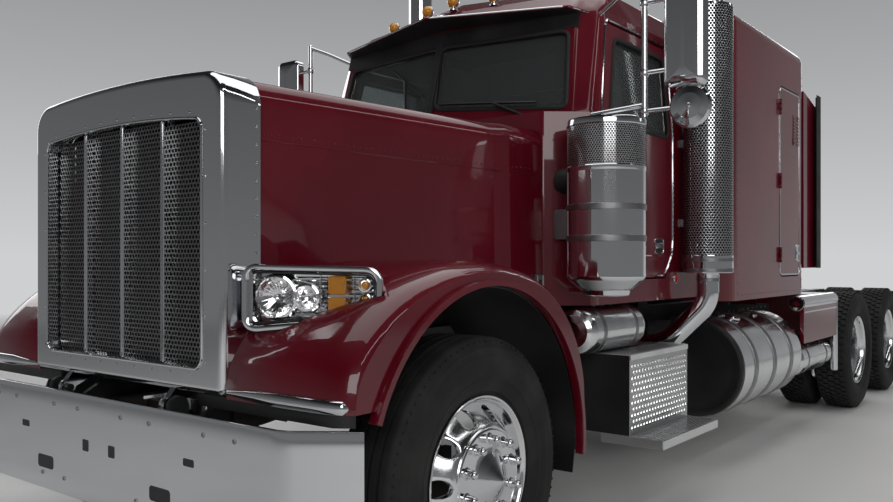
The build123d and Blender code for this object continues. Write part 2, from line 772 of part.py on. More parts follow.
# Headlamp pods: bright shells beside the grille, swept back over the fenders' noses
pod_face = Vector(aft(-591), 872, 1181)
pod_turn_deg = 29.0
pod_length = 487.0
pod_inner_low, pod_inner_high = -118.0, 118.0
pod_outer_low, pod_outer_high = -74.0, 106.0
pod_corner_r = 62.0
pod_depth = 150.0
pod_draw = 30.0              # how far its back is drawn in
pod_wall = 14.0
pod_hollow_depth = 90.0
bezel_lap = 6.0
bezel_rise = 7.0
bezel_depth = 26.0
lens_t = 6.0
lens_back = 14.0
pod_plane = Plane(origin=pod_face, x_dir=(-sin(radians(pod_turn_deg)), cos(radians(pod_turn_deg)), 0),
                  z_dir=(cos(radians(pod_turn_deg)), sin(radians(pod_turn_deg)), 0))


def pod_outline(rise, inset):
    """The left pod's outline, narrower at its outer end, at a rise over its face and drawn in by an inset."""
    half = pod_length / 2 - inset
    with BuildSketch(pod_plane.offset(rise)) as outline:
        with BuildLine():
            Polyline((-half, pod_inner_low + inset), (half, pod_outer_low + inset),
                     (half, pod_outer_high - inset), (-half, pod_inner_high - inset), close=True)
        make_face()
        fillet(outline.vertices(), pod_corner_r - inset)
    return outline.sketch


def pod_form(grow):
    """The left pod's outside: it draws in towards its back, with a raised bezel round its face."""
    with BuildPart() as form:
        loft([pod_outline(0, -grow), pod_outline(-pod_depth - grow, pod_draw - grow)], ruled=True)
        extrude(pod_outline(bezel_rise + grow, -bezel_lap - grow), amount=-bezel_depth - 2 * grow)
    return form.part


def pod_cavity(inset):
    """The hollow of the left pod, drawn in by an inset."""
    with BuildPart() as hollow:
        loft([pod_outline(bezel_rise + 1, pod_wall + inset),
              pod_outline(-pod_hollow_depth, pod_draw + 8 + inset)], ruled=True)
    return hollow.part


def pod_bracket(grow):
    """The bracket between the grille's crown and the left pod, made into the current part."""
    box(aft(-600) - grow, aft(-735) + grow, crown_half_y, crown_half_y + 60 + grow, 1085 - grow, 1290 + grow)


def headlamp_pod():
    """The left pod, hollowed from its face."""
    with BuildPart() as pod:
        add(pod_form(0))
        pod_bracket(0)
        add(pod_cavity(0), mode=Mode.SUBTRACT)
        box(aft(hood_front_station), aft(crown_front_station), 0, crown_half_y, 0, 2000, mode=Mode.SUBTRACT)
        add(hood_form(-seat_gap), mode=Mode.SUBTRACT)
    return pod.part


def headlamp_lens():
    """The left pod's clear cover, let into the hollow's mouth."""
    with BuildPart() as lens:
        add(pod_cavity(seat_gap))
        with BuildSketch(pod_plane.offset(-lens_back)) as slab:
            Rectangle(2 * pod_length, 2 * pod_length)
        extrude(slab.sketch, amount=lens_t, mode=Mode.INTERSECT)
    return lens.part


headlamp_pods = both_sides(headlamp_pod)
write(headlamp_pods, "headlamp_pods")
headlamp_lenses = both_sides(headlamp_lens)
write(headlamp_lenses, "headlamp_lenses")

# Fenders: swept nose, flat crown, arch with a rolled lip
fender_inner_y = 600.0
lip_height = 16.0


fender_low_z = 490.0
fender_nose_z = 845.0
fender_rise = 745.0          # the arch's middle to the fender's crown
# The outline from the side, from the nose over the crown to the rear, each arc tangent to the last
fender_profile = [
    (-748.0, 870.0), (-700.0, 1012.0), (-370.0, 1250.0), (0.0, arch_z + fender_rise),
    (330.0, 1262.0), (736.0, 790.0),
]
# Each section: distance out, and how far its outline is drawn in towards the wheel
fender_sections = [
    (fender_inner_y, 0.0), (900.0, 0.0), (1060.0, 4.0),
    (1130.0, 14.0), (1165.0, 28.0), (fender_outer_y, 48.0),
]


def fender_section(y, draw, low_cut):
    """The fender's outline from the side at one distance out, drawn in towards the wheel."""
    share = 1 - draw / fender_rise
    points = [(aft(station * share), arch_z + (z - arch_z) * share) for station, z in fender_profile]
    nose_x = points[0][0]
    with BuildSketch(side_plane(y)) as outline:
        with BuildLine():
            run = Line((nose_x, fender_nose_z - low_cut), points[0])
            for start, end in zip(points, points[1:]):
                run = TangentArc(start, end, tangent=run % 1)
            Polyline(points[-1], (aft(748 * share), fender_low_z - low_cut),
                     (aft(200), fender_low_z - low_cut), (aft(-400), fender_nose_z - low_cut),
                     (nose_x, fender_nose_z - low_cut))
        make_face()
    return outline.sketch


def fender_form(inset):
    """The fender's outside, or with an inset its inside, which runs on downwards."""
    with BuildPart() as form:
        loft([fender_section(y - (inset if y > fender_inner_y else 0), draw + inset, 10.0 if inset else 0.0)
              for y, draw in fender_sections], ruled=True)
    return form.part


def fender():
    """The left fender: a shell with its arch cut and the lip round it."""
    with BuildPart() as shell:
        add(fender_form(0))
        add(fender_form(fender_wall), mode=Mode.SUBTRACT)
        with BuildSketch(side_plane(fender_inner_y - 100)) as arch:
            with Locations((aft(arch_station), arch_z)):
                Circle(arch_r)
        extrude(arch.sketch, amount=-800, mode=Mode.SUBTRACT)
        with BuildSketch(side_plane(fender_outer_y - fender_wall)) as lip:
            with Locations((aft(arch_station), arch_z)):
                Circle(arch_r + lip_height)
                Circle(arch_r - 6, mode=Mode.SUBTRACT)
            with BuildLine():
                Polyline((aft(900), fender_low_z), (aft(450), fender_low_z), (aft(arch_station), arch_z),
                         (aft(-700), 838), (aft(-900), 838), (aft(-900), 1500), (aft(900), 1500), close=True)
            make_face(mode=Mode.INTERSECT)
        extrude(lip.sketch, amount=-(fender_lip_y - fender_outer_y + fender_wall))
        add(hood_form(-seat_gap), mode=Mode.SUBTRACT)
        box(aft(900), aft(-900), 0, fender_inner_y + 20, 0, 2000, mode=Mode.SUBTRACT)
        add(pod_form(seat_gap), mode=Mode.SUBTRACT)
        with BuildPart(mode=Mode.PRIVATE) as bracket:
            pod_bracket(seat_gap)
        add(bracket.part, mode=Mode.SUBTRACT)
        box(aft(hood_front_station), aft(crown_front_station), 0, crown_half_y, 0, 2000, mode=Mode.SUBTRACT)
    return shell.part


fenders = both_sides(fender)
write(fenders, "fenders")

# Wheels. Distances out are from the wheel's outer flange; negative lies inboard.
barrel = [
    (rim_lip_r, 0.0), (rim_lip_r, -rim_lip_t), (rim_r, -rim_lip_t - 4), (rim_r, -40.0),
    (262.0, -66.0), (262.0, -160.0), (rim_r, -188.0), (rim_r, -rim_width + rim_lip_t + 4),
    (rim_lip_r, -rim_width + rim_lip_t), (rim_lip_r, -rim_width), (rim_r - 4, -rim_width),
    (rim_r - rim_wall - 2, -rim_width + 20), (250.0, -164.0), (250.0, -62.0),
    (rim_r - rim_wall - 2, -20.0), (rim_r - 4, 0.0),
]
tyre_seat_r = rim_r + seat_gap
tyre_bead_half = rim_width / 2 - rim_lip_t - 5
hub_r = 88.0
spike_reach = 100.0
steer_disc_out = 34.0
spindle_r = 44.0
spindle_end = 62.0           # from the front rim's flange in to the spindle's end


def turned(profile, x, y, side):
    """A (radius, distance out) profile turned about the wheel's axis, its flange at y on one side."""
    with BuildSketch(Plane.XY) as section:
        with BuildLine():
            Polyline(*[(x + radius, side * (y + out)) for radius, out in profile], close=True)
        make_face()
    revolve(section.sketch.moved(Location((0, 0, axle_height))), axis=Axis((x, 0, axle_height), (0, 1, 0)))


def hand_hole_cuts(x, y, side, ring_r, hole_r):
    """The hand holes through a disc, evenly round the hub."""
    plane = Plane(origin=(x, side * y, axle_height), x_dir=(1, 0, 0), z_dir=(0, -1, 0))
    with BuildSketch(plane) as holes:
        with PolarLocations(ring_r, hand_holes):
            RegularPolygon(hole_r, 12)
    extrude(holes.sketch, amount=60, both=True, mode=Mode.SUBTRACT)


def steer_rim(side):
    """A front rim: its disc stands out past the flange and carries the hub and its pointed cover."""
    x, y = aft(0), steer_rim_face_y
    bore_r = spindle_r + pin_clearance
    disc = [(262.0, -58.0), (190.0, 30.0), (165.0, steer_disc_out), (0.0, steer_disc_out),
            (0.0, steer_disc_out - disc_t), (160.0, steer_disc_out - disc_t),
            (176.0, 8.0), (256.0, -90.0), (260.0, -90.0)]
    hub = [(0.0, spike_reach), (14.0, 70.0), (hub_r - 6, 44.0), (hub_r, 20.0), (hub_r, -120.0),
           (120.0, -120.0), (120.0, -180.0), (bore_r, -180.0), (bore_r, -spindle_end + 2),
           (0.0, -spindle_end + 2)]
    with BuildPart() as rim:
        turned(barrel, x, y, side)
        turned(disc, x, y, side)
        hand_hole_cuts(x, y, side, steer_hole_pcr, steer_hole_r)
        turned(hub, x, y, side)
    return rim.part


def drive_rims(x, side):
    """A pair of drive rims bolted face to face on one hub, the outer one deeply dished."""
    y = drive_rim_face_y
    disc_face = -rim_width - mount_reach
    bore_r = axle_tube_r + pin_clearance
    outer_disc = [(254.0, -150.0), (216.0, disc_face + 34), (165.0, disc_face + disc_t),
                  (0.0, disc_face + disc_t), (0.0, disc_face), (160.0, disc_face),
                  (228.0, disc_face + 10), (256.0, -185.0), (260.0, -150.0)]
    mirrored = [(radius, 2 * disc_face - out) for radius, out in outer_disc]
    inner_barrel = [(radius, out - dual_spacing) for radius, out in barrel]
    hub = [(0.0, -70.0), (60.0, -74.0), (hub_r, -110.0), (hub_r, disc_face + disc_t), (hub_r, disc_face - 40),
           (drum_r, disc_face - 60), (drum_r, disc_face - 60 - drum_width),
           (bore_r, disc_face - 60 - drum_width), (bore_r, -hub_bore_end), (0.0, -hub_bore_end)]
    with BuildPart() as rims:
        turned(barrel, x, y, side)
        turned(inner_barrel, x, y, side)
        turned(outer_disc, x, y, side)
        turned(mirrored, x, y, side)
        hand_hole_cuts(x, y + disc_face, side, drive_hole_pcr, drive_hole_r)
        turned(hub, x, y, side)
    return rims.part


def tyre_form(x, y, side):
    """One tyre, its rim's outer flange at y, made into the current part."""
    middle = -rim_width / 2
    half = tyre_width / 2
    outline = [
        (tyre_seat_r, tyre_bead_half), (rim_lip_r + 6, tyre_bead_half + 2), (360.0, half - 8), (405.0, half),
        (450.0, half - 4), (492.0, half - 20), (510.0, half - 32), (tyre_r, half - 52),
    ]
    profile = [(radius, middle + out) for radius, out in outline]
    profile += [(radius, middle - out) for radius, out in reversed(outline)]
    turned(profile, x, y, side)


for side, name in ((1, "left"), (-1, "right")):
    with BuildPart() as rim_front:
        add(steer_rim(side))
    write(rim_front, f"rim_front_{name}")
    with BuildPart() as tyre_front:
        tyre_form(aft(0), steer_rim_face_y, side)
    write(tyre_front, f"tyre_front_{name}")
    for number, x in enumerate(drive_x, start=1):
        with BuildPart() as rims_drive:
            add(drive_rims(x, side))
        write(rims_drive, f"rims_drive{number}_{name}")
        with BuildPart() as tyres_drive:
            tyre_form(x, drive_rim_face_y, side)
            tyre_form(x, drive_rim_face_y - dual_spacing, side)
        write(tyres_drive, f"tyres_drive{number}_{name}")

# Knuckles: jaws round the axle's ends, a spindle for the wheel and an arm for the tie rod
jaw_gap = 1.0
knuckle_reach = 76.0
arm_station = 220.0
arm_z = axle_height - 110
ball_r = 14.0


def knuckle():
    """The left knuckle with its kingpin."""
    with BuildPart() as piece:
        web_y = kingpin_y + knuckle_reach
        rod((aft(0), kingpin_y, axle_height - 105), (aft(0), kingpin_y, axle_height + 85), kingpin_r)
        box(aft(45), aft(-45), kingpin_y - 36, web_y, axle_height + 40 + jaw_gap, axle_height + 80)
        box(aft(45), aft(-45), kingpin_y - 36, web_y, axle_height - 100, axle_height - 60 - jaw_gap)
        box(aft(60), aft(-60), kingpin_y + beam_end + web_gap, web_y, axle_height - 100, axle_height + 80)
        rod((aft(0), web_y - 6, axle_height), (aft(0), steer_rim_face_y - spindle_end, axle_height),
            spindle_r)
        box(aft(arm_station + 26), aft(30), kingpin_y - 24, kingpin_y + 24, arm_z - 14, arm_z + 16)
        rod((aft(arm_station), kingpin_y, arm_z), (aft(arm_station), kingpin_y, arm_z - 62), ball_r)
    return piece.part


knuckle_part = knuckle()
with BuildPart() as knuckle_left:
    add(knuckle_part)
write(knuckle_left, "knuckle_left")
with BuildPart() as knuckle_right:
    add(mirror(knuckle_part, about=Plane.XZ))
write(knuckle_right, "knuckle_right")

# Tie rod between the knuckles' arms
tie_z = arm_z - 40
with BuildPart() as tie_rod:
    rod((aft(arm_station), -kingpin_y + 10, tie_z), (aft(arm_station), kingpin_y - 10, tie_z), 18)
    for side in (1, -1):
        x, y = aft(arm_station), side * kingpin_y
        rod((x, y, tie_z - 20), (x, y, tie_z + 20), 25)
        rod((x, y, tie_z - 30), (x, y, tie_z + 30), ball_r + pin_clearance, mode=Mode.SUBTRACT)
write(tie_rod, "tie_rod")

# Air cleaners beside the cowl
cleaner_station = 1090.0
cleaner_y = cab_half_y + 132.0
cleaner_r = 188.0
cleaner_low_z = 1175.0
cleaner_high_z = 1968.0


def air_cleaner():
    """The left air cleaner: a banded drum with its intake elbow and bracket."""
    x = aft(cleaner_station)
    profile = [
        (0.0, 1140.0), (110.0, 1140.0), (130.0, cleaner_low_z), (cleaner_r - 8, cleaner_low_z + 60),
        (cleaner_r - 8, 1395.0), (cleaner_r, 1395.0), (cleaner_r, 1425.0), (cleaner_r - 6, 1425.0),
        (cleaner_r - 6, 1540.0), (cleaner_r, 1540.0), (cleaner_r, 1570.0), (cleaner_r - 6, 1570.0),
        (cleaner_r - 6, 1745.0), (cleaner_r, 1745.0), (cleaner_r, cleaner_high_z - 8),
        (cleaner_r - 8, cleaner_high_z),
        (60.0, cleaner_high_z + 14), (0.0, cleaner_high_z + 14),
    ]
    with BuildPart() as drum:
        with BuildSketch(Plane.XZ.offset(-cleaner_y)) as section:
            with BuildLine():
                Polyline(*[(x + radius, z) for radius, z in profile], close=True)
            make_face()
        revolve(section.sketch, axis=Axis((x, cleaner_y, 0), (0, 0, 1)))
        box(x - 95, x - 5, 740, cleaner_y - 120, 1410, 1560)
        rod((x - 62, 760, 1700), (x - 62, cleaner_y - 100, 1700), 70)
        add(cab_clear, mode=Mode.SUBTRACT)
    return drum.part


air_cleaners = both_sides(air_cleaner)
write(air_cleaners, "air_cleaners")

# Exhaust stacks behind the doors
stack_station = 2335.0
stack_y = cab_half_y + 150.0
shield_r = 142.0
shield_low_z = 1235.0
shield_high_z = 2800.0
stack_r = 88.0
stack_top_z = 3900.0
pipe_r = 62.0


def exhaust_stack():
    """The left stack: a perforated shield round the muffler, the tall pipe and the elbow under it."""
    x = aft(stack_station)
    with BuildPart() as stack:
        rod((x, stack_y, shield_low_z), (x, stack_y, shield_high_z), shield_r)
        rod((x, stack_y, shield_high_z - 10), (x, stack_y, stack_top_z), stack_r)
        with BuildSketch(Plane.XZ.offset(-stack_y)) as tip:
            with BuildLine():
                Polyline((x - 150, stack_top_z + 1), (x + 150, stack_top_z + 1),
                         (x + 150, stack_top_z - 220), close=True)
            make_face()
        extrude(tip.sketch, amount=150, both=True, mode=Mode.SUBTRACT)
        with BuildLine() as route:
            FilletPolyline((x, stack_y, shield_low_z + 10), (x, stack_y, 1060), (x + 90, stack_y - 230, 800),
                           (x + 90, 480, 800), radius=110)
        with BuildSketch(Plane(origin=(x, stack_y, shield_low_z + 10), z_dir=(0, 0, -1))) as bore:
            Circle(pipe_r)
        sweep(bore.sketch, path=route.line)
        box(x - 60, x + 60, cab_half_y, stack_y - 100, 1500, 1560)
        box(x - 60, x + 60, cab_half_y, stack_y - 100, 1980, 2020)
    return stack.part


exhaust_stacks = both_sides(exhaust_stack)
write(exhaust_stacks, "exhaust_stacks")

# Fuel tanks with their straps
tank_r = 311.0
tank_y = 870.0
tank_z = 622.0
tank_front = 2700.0
tank_rear = 3980.0
strap_width = 60.0
strap_t = 6.0


def fuel_tank():
    """The left fuel tank."""
    with BuildPart() as tank:
        with BuildSketch(Plane.YZ.offset(aft(tank_rear))) as end:
            with Locations((tank_y, tank_z)):
                Circle(tank_r)
        extrude(end.sketch, amount=tank_rear - tank_front)
        fillet(tank.edges().filter_by(GeomType.CIRCLE), 25)
        for station in (tank_front + 260, (tank_front + tank_rear) / 2, tank_rear - 260):
            with BuildSketch(Plane.YZ.offset(aft(station) - strap_width / 2)) as strap:
                with Locations((tank_y, tank_z)):
                    Circle(tank_r + strap_t)
            extrude(strap.sketch, amount=strap_width)
            box(aft(station) - 30, aft(station) + 30, rail_outer_y, tank_y - tank_r + 60, 560, 960)
        cap_x, cap_y = aft(tank_front + 420), tank_y + 90
        rod((cap_x, cap_y, tank_z + tank_r - 60), (cap_x, cap_y, tank_z + tank_r + 24), 52)
    return tank.part


fuel_tanks = both_sides(fuel_tank)
write(fuel_tanks, "fuel_tanks")

# Step boxes between the front wheel and the tank
box_front = 1379.0
box_rear = 2111.0
box_face_y = 1064.0
box_top_z = 833.0
box_low_z = 425.0
tread_out_y = 1238.0
tread_z = 379.0


def step_box():
    """The left step box with its lower tread."""
    with BuildPart() as steps:
        box(aft(box_rear), aft(box_front), 520, box_face_y, box_low_z, box_top_z)
        box(aft(box_rear), aft(box_front), rail_outer_y, 520, 720, box_top_z)
        box(aft(box_rear), aft(box_front), 900, tread_out_y, tread_z, tread_z + 46)
    return steps.part


step_boxes = both_sides(step_box)
write(step_boxes, "step_boxes")

# Air tanks ahead of the step boxes and under the quarter fenders
air_tank_r = 118.0
quarter_front = 4050.0
quarter_rear = 5005.0


def air_tank():
    """The left air tank, its domed ends fore and aft."""
    with BuildPart() as tank:
        with BuildSketch(Plane.YZ.offset(aft(1780))) as end:
            with Locations((865, 955)):
                Circle(air_tank_r)
        extrude(end.sketch, amount=640)
        fillet(tank.edges().filter_by(GeomType.CIRCLE), 50)
        for station in (1300, 1650):
            box(aft(station) - 20, aft(station) + 20, rail_outer_y, 800, 930, 980)
    return tank.part


def rear_air_tank():
    """The left tank under the quarter fender, on two arms that hang from the rail."""
    y, z = 1030.0, 550.0
    with BuildPart() as tank:
        rod((aft(quarter_rear - 20), y, z), (aft(quarter_front + 30), y, z), air_tank_r + 6)
        fillet(tank.edges().filter_by(GeomType.CIRCLE), 50)
        for station in (quarter_front + 200, quarter_rear - 205):
            x = aft(station)
            box(x - 25, x + 25, rail_outer_y, y - 60, z - 50, z + 50)
            box(x - 25, x + 25, rail_outer_y, rail_outer_y + 30, z - 50, rail_top_z - 90)
    return tank.part


with BuildPart() as air_tanks:
    for tank in (air_tank(), rear_air_tank()):
        add(tank)
        add(mirror(tank, about=Plane.XZ))
write(air_tanks, "air_tanks")

# Sun visor: a thin blade over the windscreen that rises a little towards its lip
visor_t = 12.0
visor_lip_z = 2640.0
visor_fall = 0.167           # how steeply it falls towards the cab
visor_plan = [(1050.0, 0.0), (1245.0, 790.0), (1400.0, 870.0), (1480.0, 870.0)]
with BuildPart() as sun_visor:
    extrude(level_outline(visor_lip_z - 150, visor_plan), amount=200)
    lip_station, root_station = visor_plan[0][0], visor_plan[-1][0]
    root_z = visor_lip_z - (root_station - lip_station) * visor_fall
    prism(side_plane(0), [
        (aft(lip_station), visor_lip_z), (aft(root_station), root_z),
        (aft(root_station), root_z - visor_t), (aft(lip_station), visor_lip_z - visor_t),
    ], cab_half_y, both=True, mode=Mode.INTERSECT)
    add(cab_clear, mode=Mode.SUBTRACT)
write(sun_visor, "sun_visor")

# Roof lamps: five balls on short stalks along the front of the roof
roof_lamp_r = 37.0
roof_lamp_z = 2787.0
roof_lamp_places = [(1310.0, 0.0), (1373.0, 240.0), (1373.0, -240.0), (1513.0, 630.0), (1513.0, -630.0)]
with BuildPart() as roof_lamps:
    for station, y in roof_lamp_places:
        with Locations((aft(station), y, roof_lamp_z)):
            Sphere(roof_lamp_r)
        rod((aft(station), y, cab_brow_z - 10), (aft(station), y, roof_lamp_z), 26)
    add(cab_clear, mode=Mode.SUBTRACT)
write(roof_lamps, "roof_lamps")

# Mirrors on their arms
mirror_station = 1300.0
mirror_post_y = cab_half_y + 228.0
mirror_head_out = 205.0      # from the post to the head's middle
mirror_head_z = 2385.0
spot_out = 232.0
spot_z = 2030.0
spot_r = 103.0
mirror_tube_r = 14.0


def mirror_set():
    """The left mirror: head, round spot mirror and the tubes that carry it."""
    x = aft(mirror_station)
    y = mirror_post_y
    with BuildPart() as piece:
        with BuildSketch(Plane.YZ.offset(x - 40)) as head:
            with Locations((y + mirror_head_out, mirror_head_z)):
                RectangleRounded(200, 520, 40)
        extrude(head.sketch, amount=70)
        with BuildSketch(Plane.YZ.offset(x - 30)) as spot:
            with Locations((y + spot_out, spot_z)):
                Circle(spot_r)
        extrude(spot.sketch, amount=40)
        rod((x, y, spot_z - 30), (x, y, 2720), mirror_tube_r + 2)
        rod((x, y, 2700), (aft(1391), cab_half_y - 80, 2566), mirror_tube_r)
        rod((x, y, 2060), (aft(1213), cab_half_y - 60, 2025), mirror_tube_r)
        for z in (mirror_head_z + 170, mirror_head_z - 170):
            rod((x, y, z), (x, y + mirror_head_out - 80, z), mirror_tube_r - 2)
        rod((x, y, spot_z), (x, y + spot_out - spot_r + 20, spot_z), mirror_tube_r - 2)
        add(cab_clear, mode=Mode.SUBTRACT)
    return piece.part


mirrors = both_sides(mirror_set)
write(mirrors, "mirrors")

# Rear quarter fenders ahead of the drive tyres
quarter_face_y = 1180.0
quarter_roll_r = 58.0
quarter_edge_r = 28.0


def quarter_fender():
    """The left quarter fender: a sheet ahead of the tyre, a side panel, its top roll and its upright edge."""
    roll_y = quarter_face_y - quarter_roll_r
    roll_z = sleeper_bottom_z - 6 - quarter_roll_r
    edge_x = aft(quarter_rear + 15)
    edge_y = quarter_face_y - quarter_edge_r
    with BuildPart() as panel:
        prism(side_plane(620), [
            (aft(4480), 1041), (aft(quarter_rear + 5), 1041), (aft(quarter_rear + 55), 700),
            (aft(quarter_rear + 35), 700), (aft(quarter_rear - 13), 1021), (aft(4480), 1021),
        ], -roll_y + 620)
        rod((aft(quarter_rear + 40), roll_y, roll_z), (aft(quarter_front), roll_y, roll_z), quarter_roll_r)
        box(aft(quarter_rear), aft(quarter_front), quarter_face_y - 34, quarter_face_y - 6, 690, roll_z)
        rod((edge_x, edge_y, 400), (edge_x, edge_y, roll_z), quarter_edge_r)
        for station in (4640, 4940):
            box(aft(station), aft(station) + 40, rail_outer_y, 640, 940, 1030)
    return panel.part


rear_fenders = both_sides(quarter_fender)
write(rear_fenders, "rear_fenders")

# Fifth wheel: a fixed base and a plate that tips on it
fifth_station = tandem_mid_station - 150
plate_top_z = 1230.0
plate_t = 45.0
fifth_pivot_z = 1120.0
fifth_pin_r = 28.0
kingpin_jaw_r = 25.7
jaw_ahead = 0.0              # the trailer's kingpin sits over the pivot
fifth_x = aft(fifth_station)
with BuildPart() as fifth_wheel_base:
    box(fifth_x - 330, fifth_x + 330, -rail_outer_y, rail_outer_y, rail_top_z, rail_top_z + 16)
    for side in (1, -1):
        prism(side_plane(side * 375), [
            (fifth_x - 160, rail_top_z + 10), (fifth_x + 160, rail_top_z + 10),
            (fifth_x + 55, fifth_pivot_z), (fifth_x - 55, fifth_pivot_z),
        ], 24, both=True)
        rod((fifth_x, side * 345, fifth_pivot_z), (fifth_x, side * 405, fifth_pivot_z), 50)
        rod((fifth_x, side * 290, fifth_pivot_z), (fifth_x, side * 360, fifth_pivot_z), fifth_pin_r)
write(fifth_wheel_base, "fifth_wheel_base")

with BuildPart() as fifth_wheel_plate:
    jaw_x = fifth_x + jaw_ahead
    with BuildSketch(Plane.XY.offset(plate_top_z)) as top:
        with Locations((fifth_x, 0)):
            RectangleRounded(760, 880, 150)
        with BuildLine():
            Polyline((fifth_x - 500, -250), (fifth_x - 500, 250), (fifth_x - 130, kingpin_jaw_r),
                     (jaw_x, kingpin_jaw_r), (jaw_x, -kingpin_jaw_r), (fifth_x - 130, -kingpin_jaw_r),
                     close=True)
        make_face(mode=Mode.SUBTRACT)
        with Locations((jaw_x, 0)):
            Circle(kingpin_jaw_r, mode=Mode.SUBTRACT)
    extrude(top.sketch, amount=-plate_t)
    for side in (1, -1):
        box(fifth_x - 60, fifth_x + 60, side * 318 - 18, side * 318 + 18,
            fifth_pivot_z, plate_top_z - plate_t + 1)
        rod((fifth_x, side * 300, fifth_pivot_z), (fifth_x, side * 336, fifth_pivot_z), 60)
        rod((fifth_x, side * 280, fifth_pivot_z), (fifth_x, side * 350, fifth_pivot_z),
            fifth_pin_r + pin_clearance, mode=Mode.SUBTRACT)
write(fifth_wheel_plate, "fifth_wheel_plate")

# Tail: end bar with mud flaps
with BuildPart() as mud_flaps:
    box(aft(rear_reach), aft(rail_rear_station), -1190, 1190, 900, 980)
    for side in (1, -1):
        box(aft(rear_reach) + 25, aft(rear_reach) + 33, side * 905 - 285, side * 905 + 285, 200, 905)
write(mud_flaps, "mud_flaps")

# Deck plate behind the sleeper
deck_t = 8.0
deck_rear_station = 5230.0
with BuildPart() as deck_plate:
    box(aft(deck_rear_station), aft(sleeper_rear_station + 25), -rail_outer_y, rail_outer_y,
        rail_top_z, rail_top_z + deck_t)
write(deck_plate, "deck_plate")

# Seats, dash and steering wheel
seat_station = 2120.0
seat_y = 480.0
with BuildPart() as seats:
    for side in (1, -1):
        floor_z = cab_bottom_z + cab_floor_t
        x = aft(seat_station)
        y = side * seat_y
        box(x - 180, x + 180, y - 170, y + 170, floor_z, 1480)
        box(x - 250, x + 260, y - 245, y + 245, 1480, 1620)
        prism(side_plane(y), [
            (x - 250, 1600), (x - 120, 1600), (x - 190, 2280), (x - 300, 2280),
        ], 235, both=True)
write(seats, "seats")

dash_top_z = cab_belt_z - cowl_skin_t
with BuildPart() as dash:
    prism(side_plane(0), [
        (aft(cowl_front_station), 1300), (aft(cowl_front_station), dash_top_z), (aft(1420), dash_top_z),
        (aft(1500), 1880), (aft(1440), 1640), (aft(1300), 1300),
    ], 600, both=True)
    rod((aft(1440), seat_y, 1760), (aft(1665), seat_y, 1915), 34)
    add(cab_inner, mode=Mode.INTERSECT)
write(dash, "dash")

wheel_tilt = atan2(1915 - 1760, 1665 - 1440)
column_end = Vector(aft(1665), seat_y, 1915)
column_axis = Vector(-cos(wheel_tilt), 0, sin(wheel_tilt))
steering_r = 225.0
with BuildPart() as steering_wheel:
    hub_plane = Plane(origin=column_end + column_axis * seat_gap, x_dir=(0, 1, 0), z_dir=column_axis)
    with BuildSketch(hub_plane) as hub_face:
        Circle(50)
    extrude(hub_face.sketch, amount=40)
    with BuildSketch(hub_plane.offset(12)) as spokes:
        for turn in (0, 120, 240):
            with Locations(Location((0, 0, 0), (0, 0, turn + 90))):
                with Locations((steering_r / 2, 0)):
                    Rectangle(steering_r, 30)
        Circle(steering_r - 5, mode=Mode.INTERSECT)
    extrude(spokes.sketch, amount=10)
    rim_middle = hub_plane.origin + column_axis * 17
    across = Plane(origin=rim_middle, x_dir=(0, 1, 0), z_dir=Vector(0, 1, 0).cross(column_axis))
    with BuildSketch(across) as rim_section:
        with Locations((steering_r, 0)):
            Circle(16)
    revolve(rim_section.sketch, axis=Axis(rim_middle, column_axis))
write(steering_wheel, "steering_wheel")

# Bunk in the sleeper
with BuildPart() as bunk:
    floor_z = sleeper_bottom_z + sleeper_wall
    box(aft(sleeper_rear_station), aft(3700), -1000, 1000, floor_z, 1560)
    box(aft(sleeper_rear_station), aft(3690), -985, 985, 1560, 1720)
    add(sleeper_block(sleeper_wall + seat_gap, floor_z, sleeper_roof_z - sleeper_wall), mode=Mode.INTERSECT)
write(bunk, "bunk")
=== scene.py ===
# %% [markdown]
# # A long-hood road tractor
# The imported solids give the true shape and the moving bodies. This lesson dresses them: each cell says what
# a piece is on the real truck, how it could be made, and why it is made this way.

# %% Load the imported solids
import bpy
import bmesh
import json
from math import atan2, cos, hypot, pi, radians, sin
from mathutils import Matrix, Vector


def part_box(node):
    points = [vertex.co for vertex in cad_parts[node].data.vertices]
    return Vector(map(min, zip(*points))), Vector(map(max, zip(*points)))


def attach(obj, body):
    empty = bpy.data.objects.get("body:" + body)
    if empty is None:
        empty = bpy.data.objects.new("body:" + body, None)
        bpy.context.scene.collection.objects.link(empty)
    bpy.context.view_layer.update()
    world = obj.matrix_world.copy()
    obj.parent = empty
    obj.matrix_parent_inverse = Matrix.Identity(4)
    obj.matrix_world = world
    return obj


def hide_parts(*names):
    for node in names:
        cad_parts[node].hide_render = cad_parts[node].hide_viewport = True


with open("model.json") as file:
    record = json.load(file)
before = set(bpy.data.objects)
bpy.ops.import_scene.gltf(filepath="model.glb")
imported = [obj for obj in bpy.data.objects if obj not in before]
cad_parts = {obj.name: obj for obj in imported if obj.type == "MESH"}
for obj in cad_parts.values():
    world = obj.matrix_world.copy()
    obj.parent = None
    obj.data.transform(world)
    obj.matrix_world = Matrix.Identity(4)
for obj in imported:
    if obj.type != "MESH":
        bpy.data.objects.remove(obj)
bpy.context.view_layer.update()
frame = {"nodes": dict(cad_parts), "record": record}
scene = bpy.context.scene
nodes = frame["nodes"]

# %% [markdown]
# A truck is measured in stations: how far a thing lies behind the front axle, how far out from the middle
# and how far up from the ground. One small function turns millimetres of those into a point in the shared
# frame, so that every number below can be read on a tape measure. The four directions are the truck's own.

# %% Places on the truck
upwards, outwards, forwards, backwards = (0, 0, 1), (0, 1, 0), (1, 0, 0), (-1, 0, 0)
tyre_low, tyre_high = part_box("tyre_front_left")
front_axle_x = (tyre_low.x + tyre_high.x) / 2
axle_up = (tyre_low.z + tyre_high.z) / 2 * 1000
drive_stations = []
for number in (1, 2):
    low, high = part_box(f"tyres_drive{number}_left")
    drive_stations.append(round((front_axle_x - (low.x + high.x) / 2) * 1000))


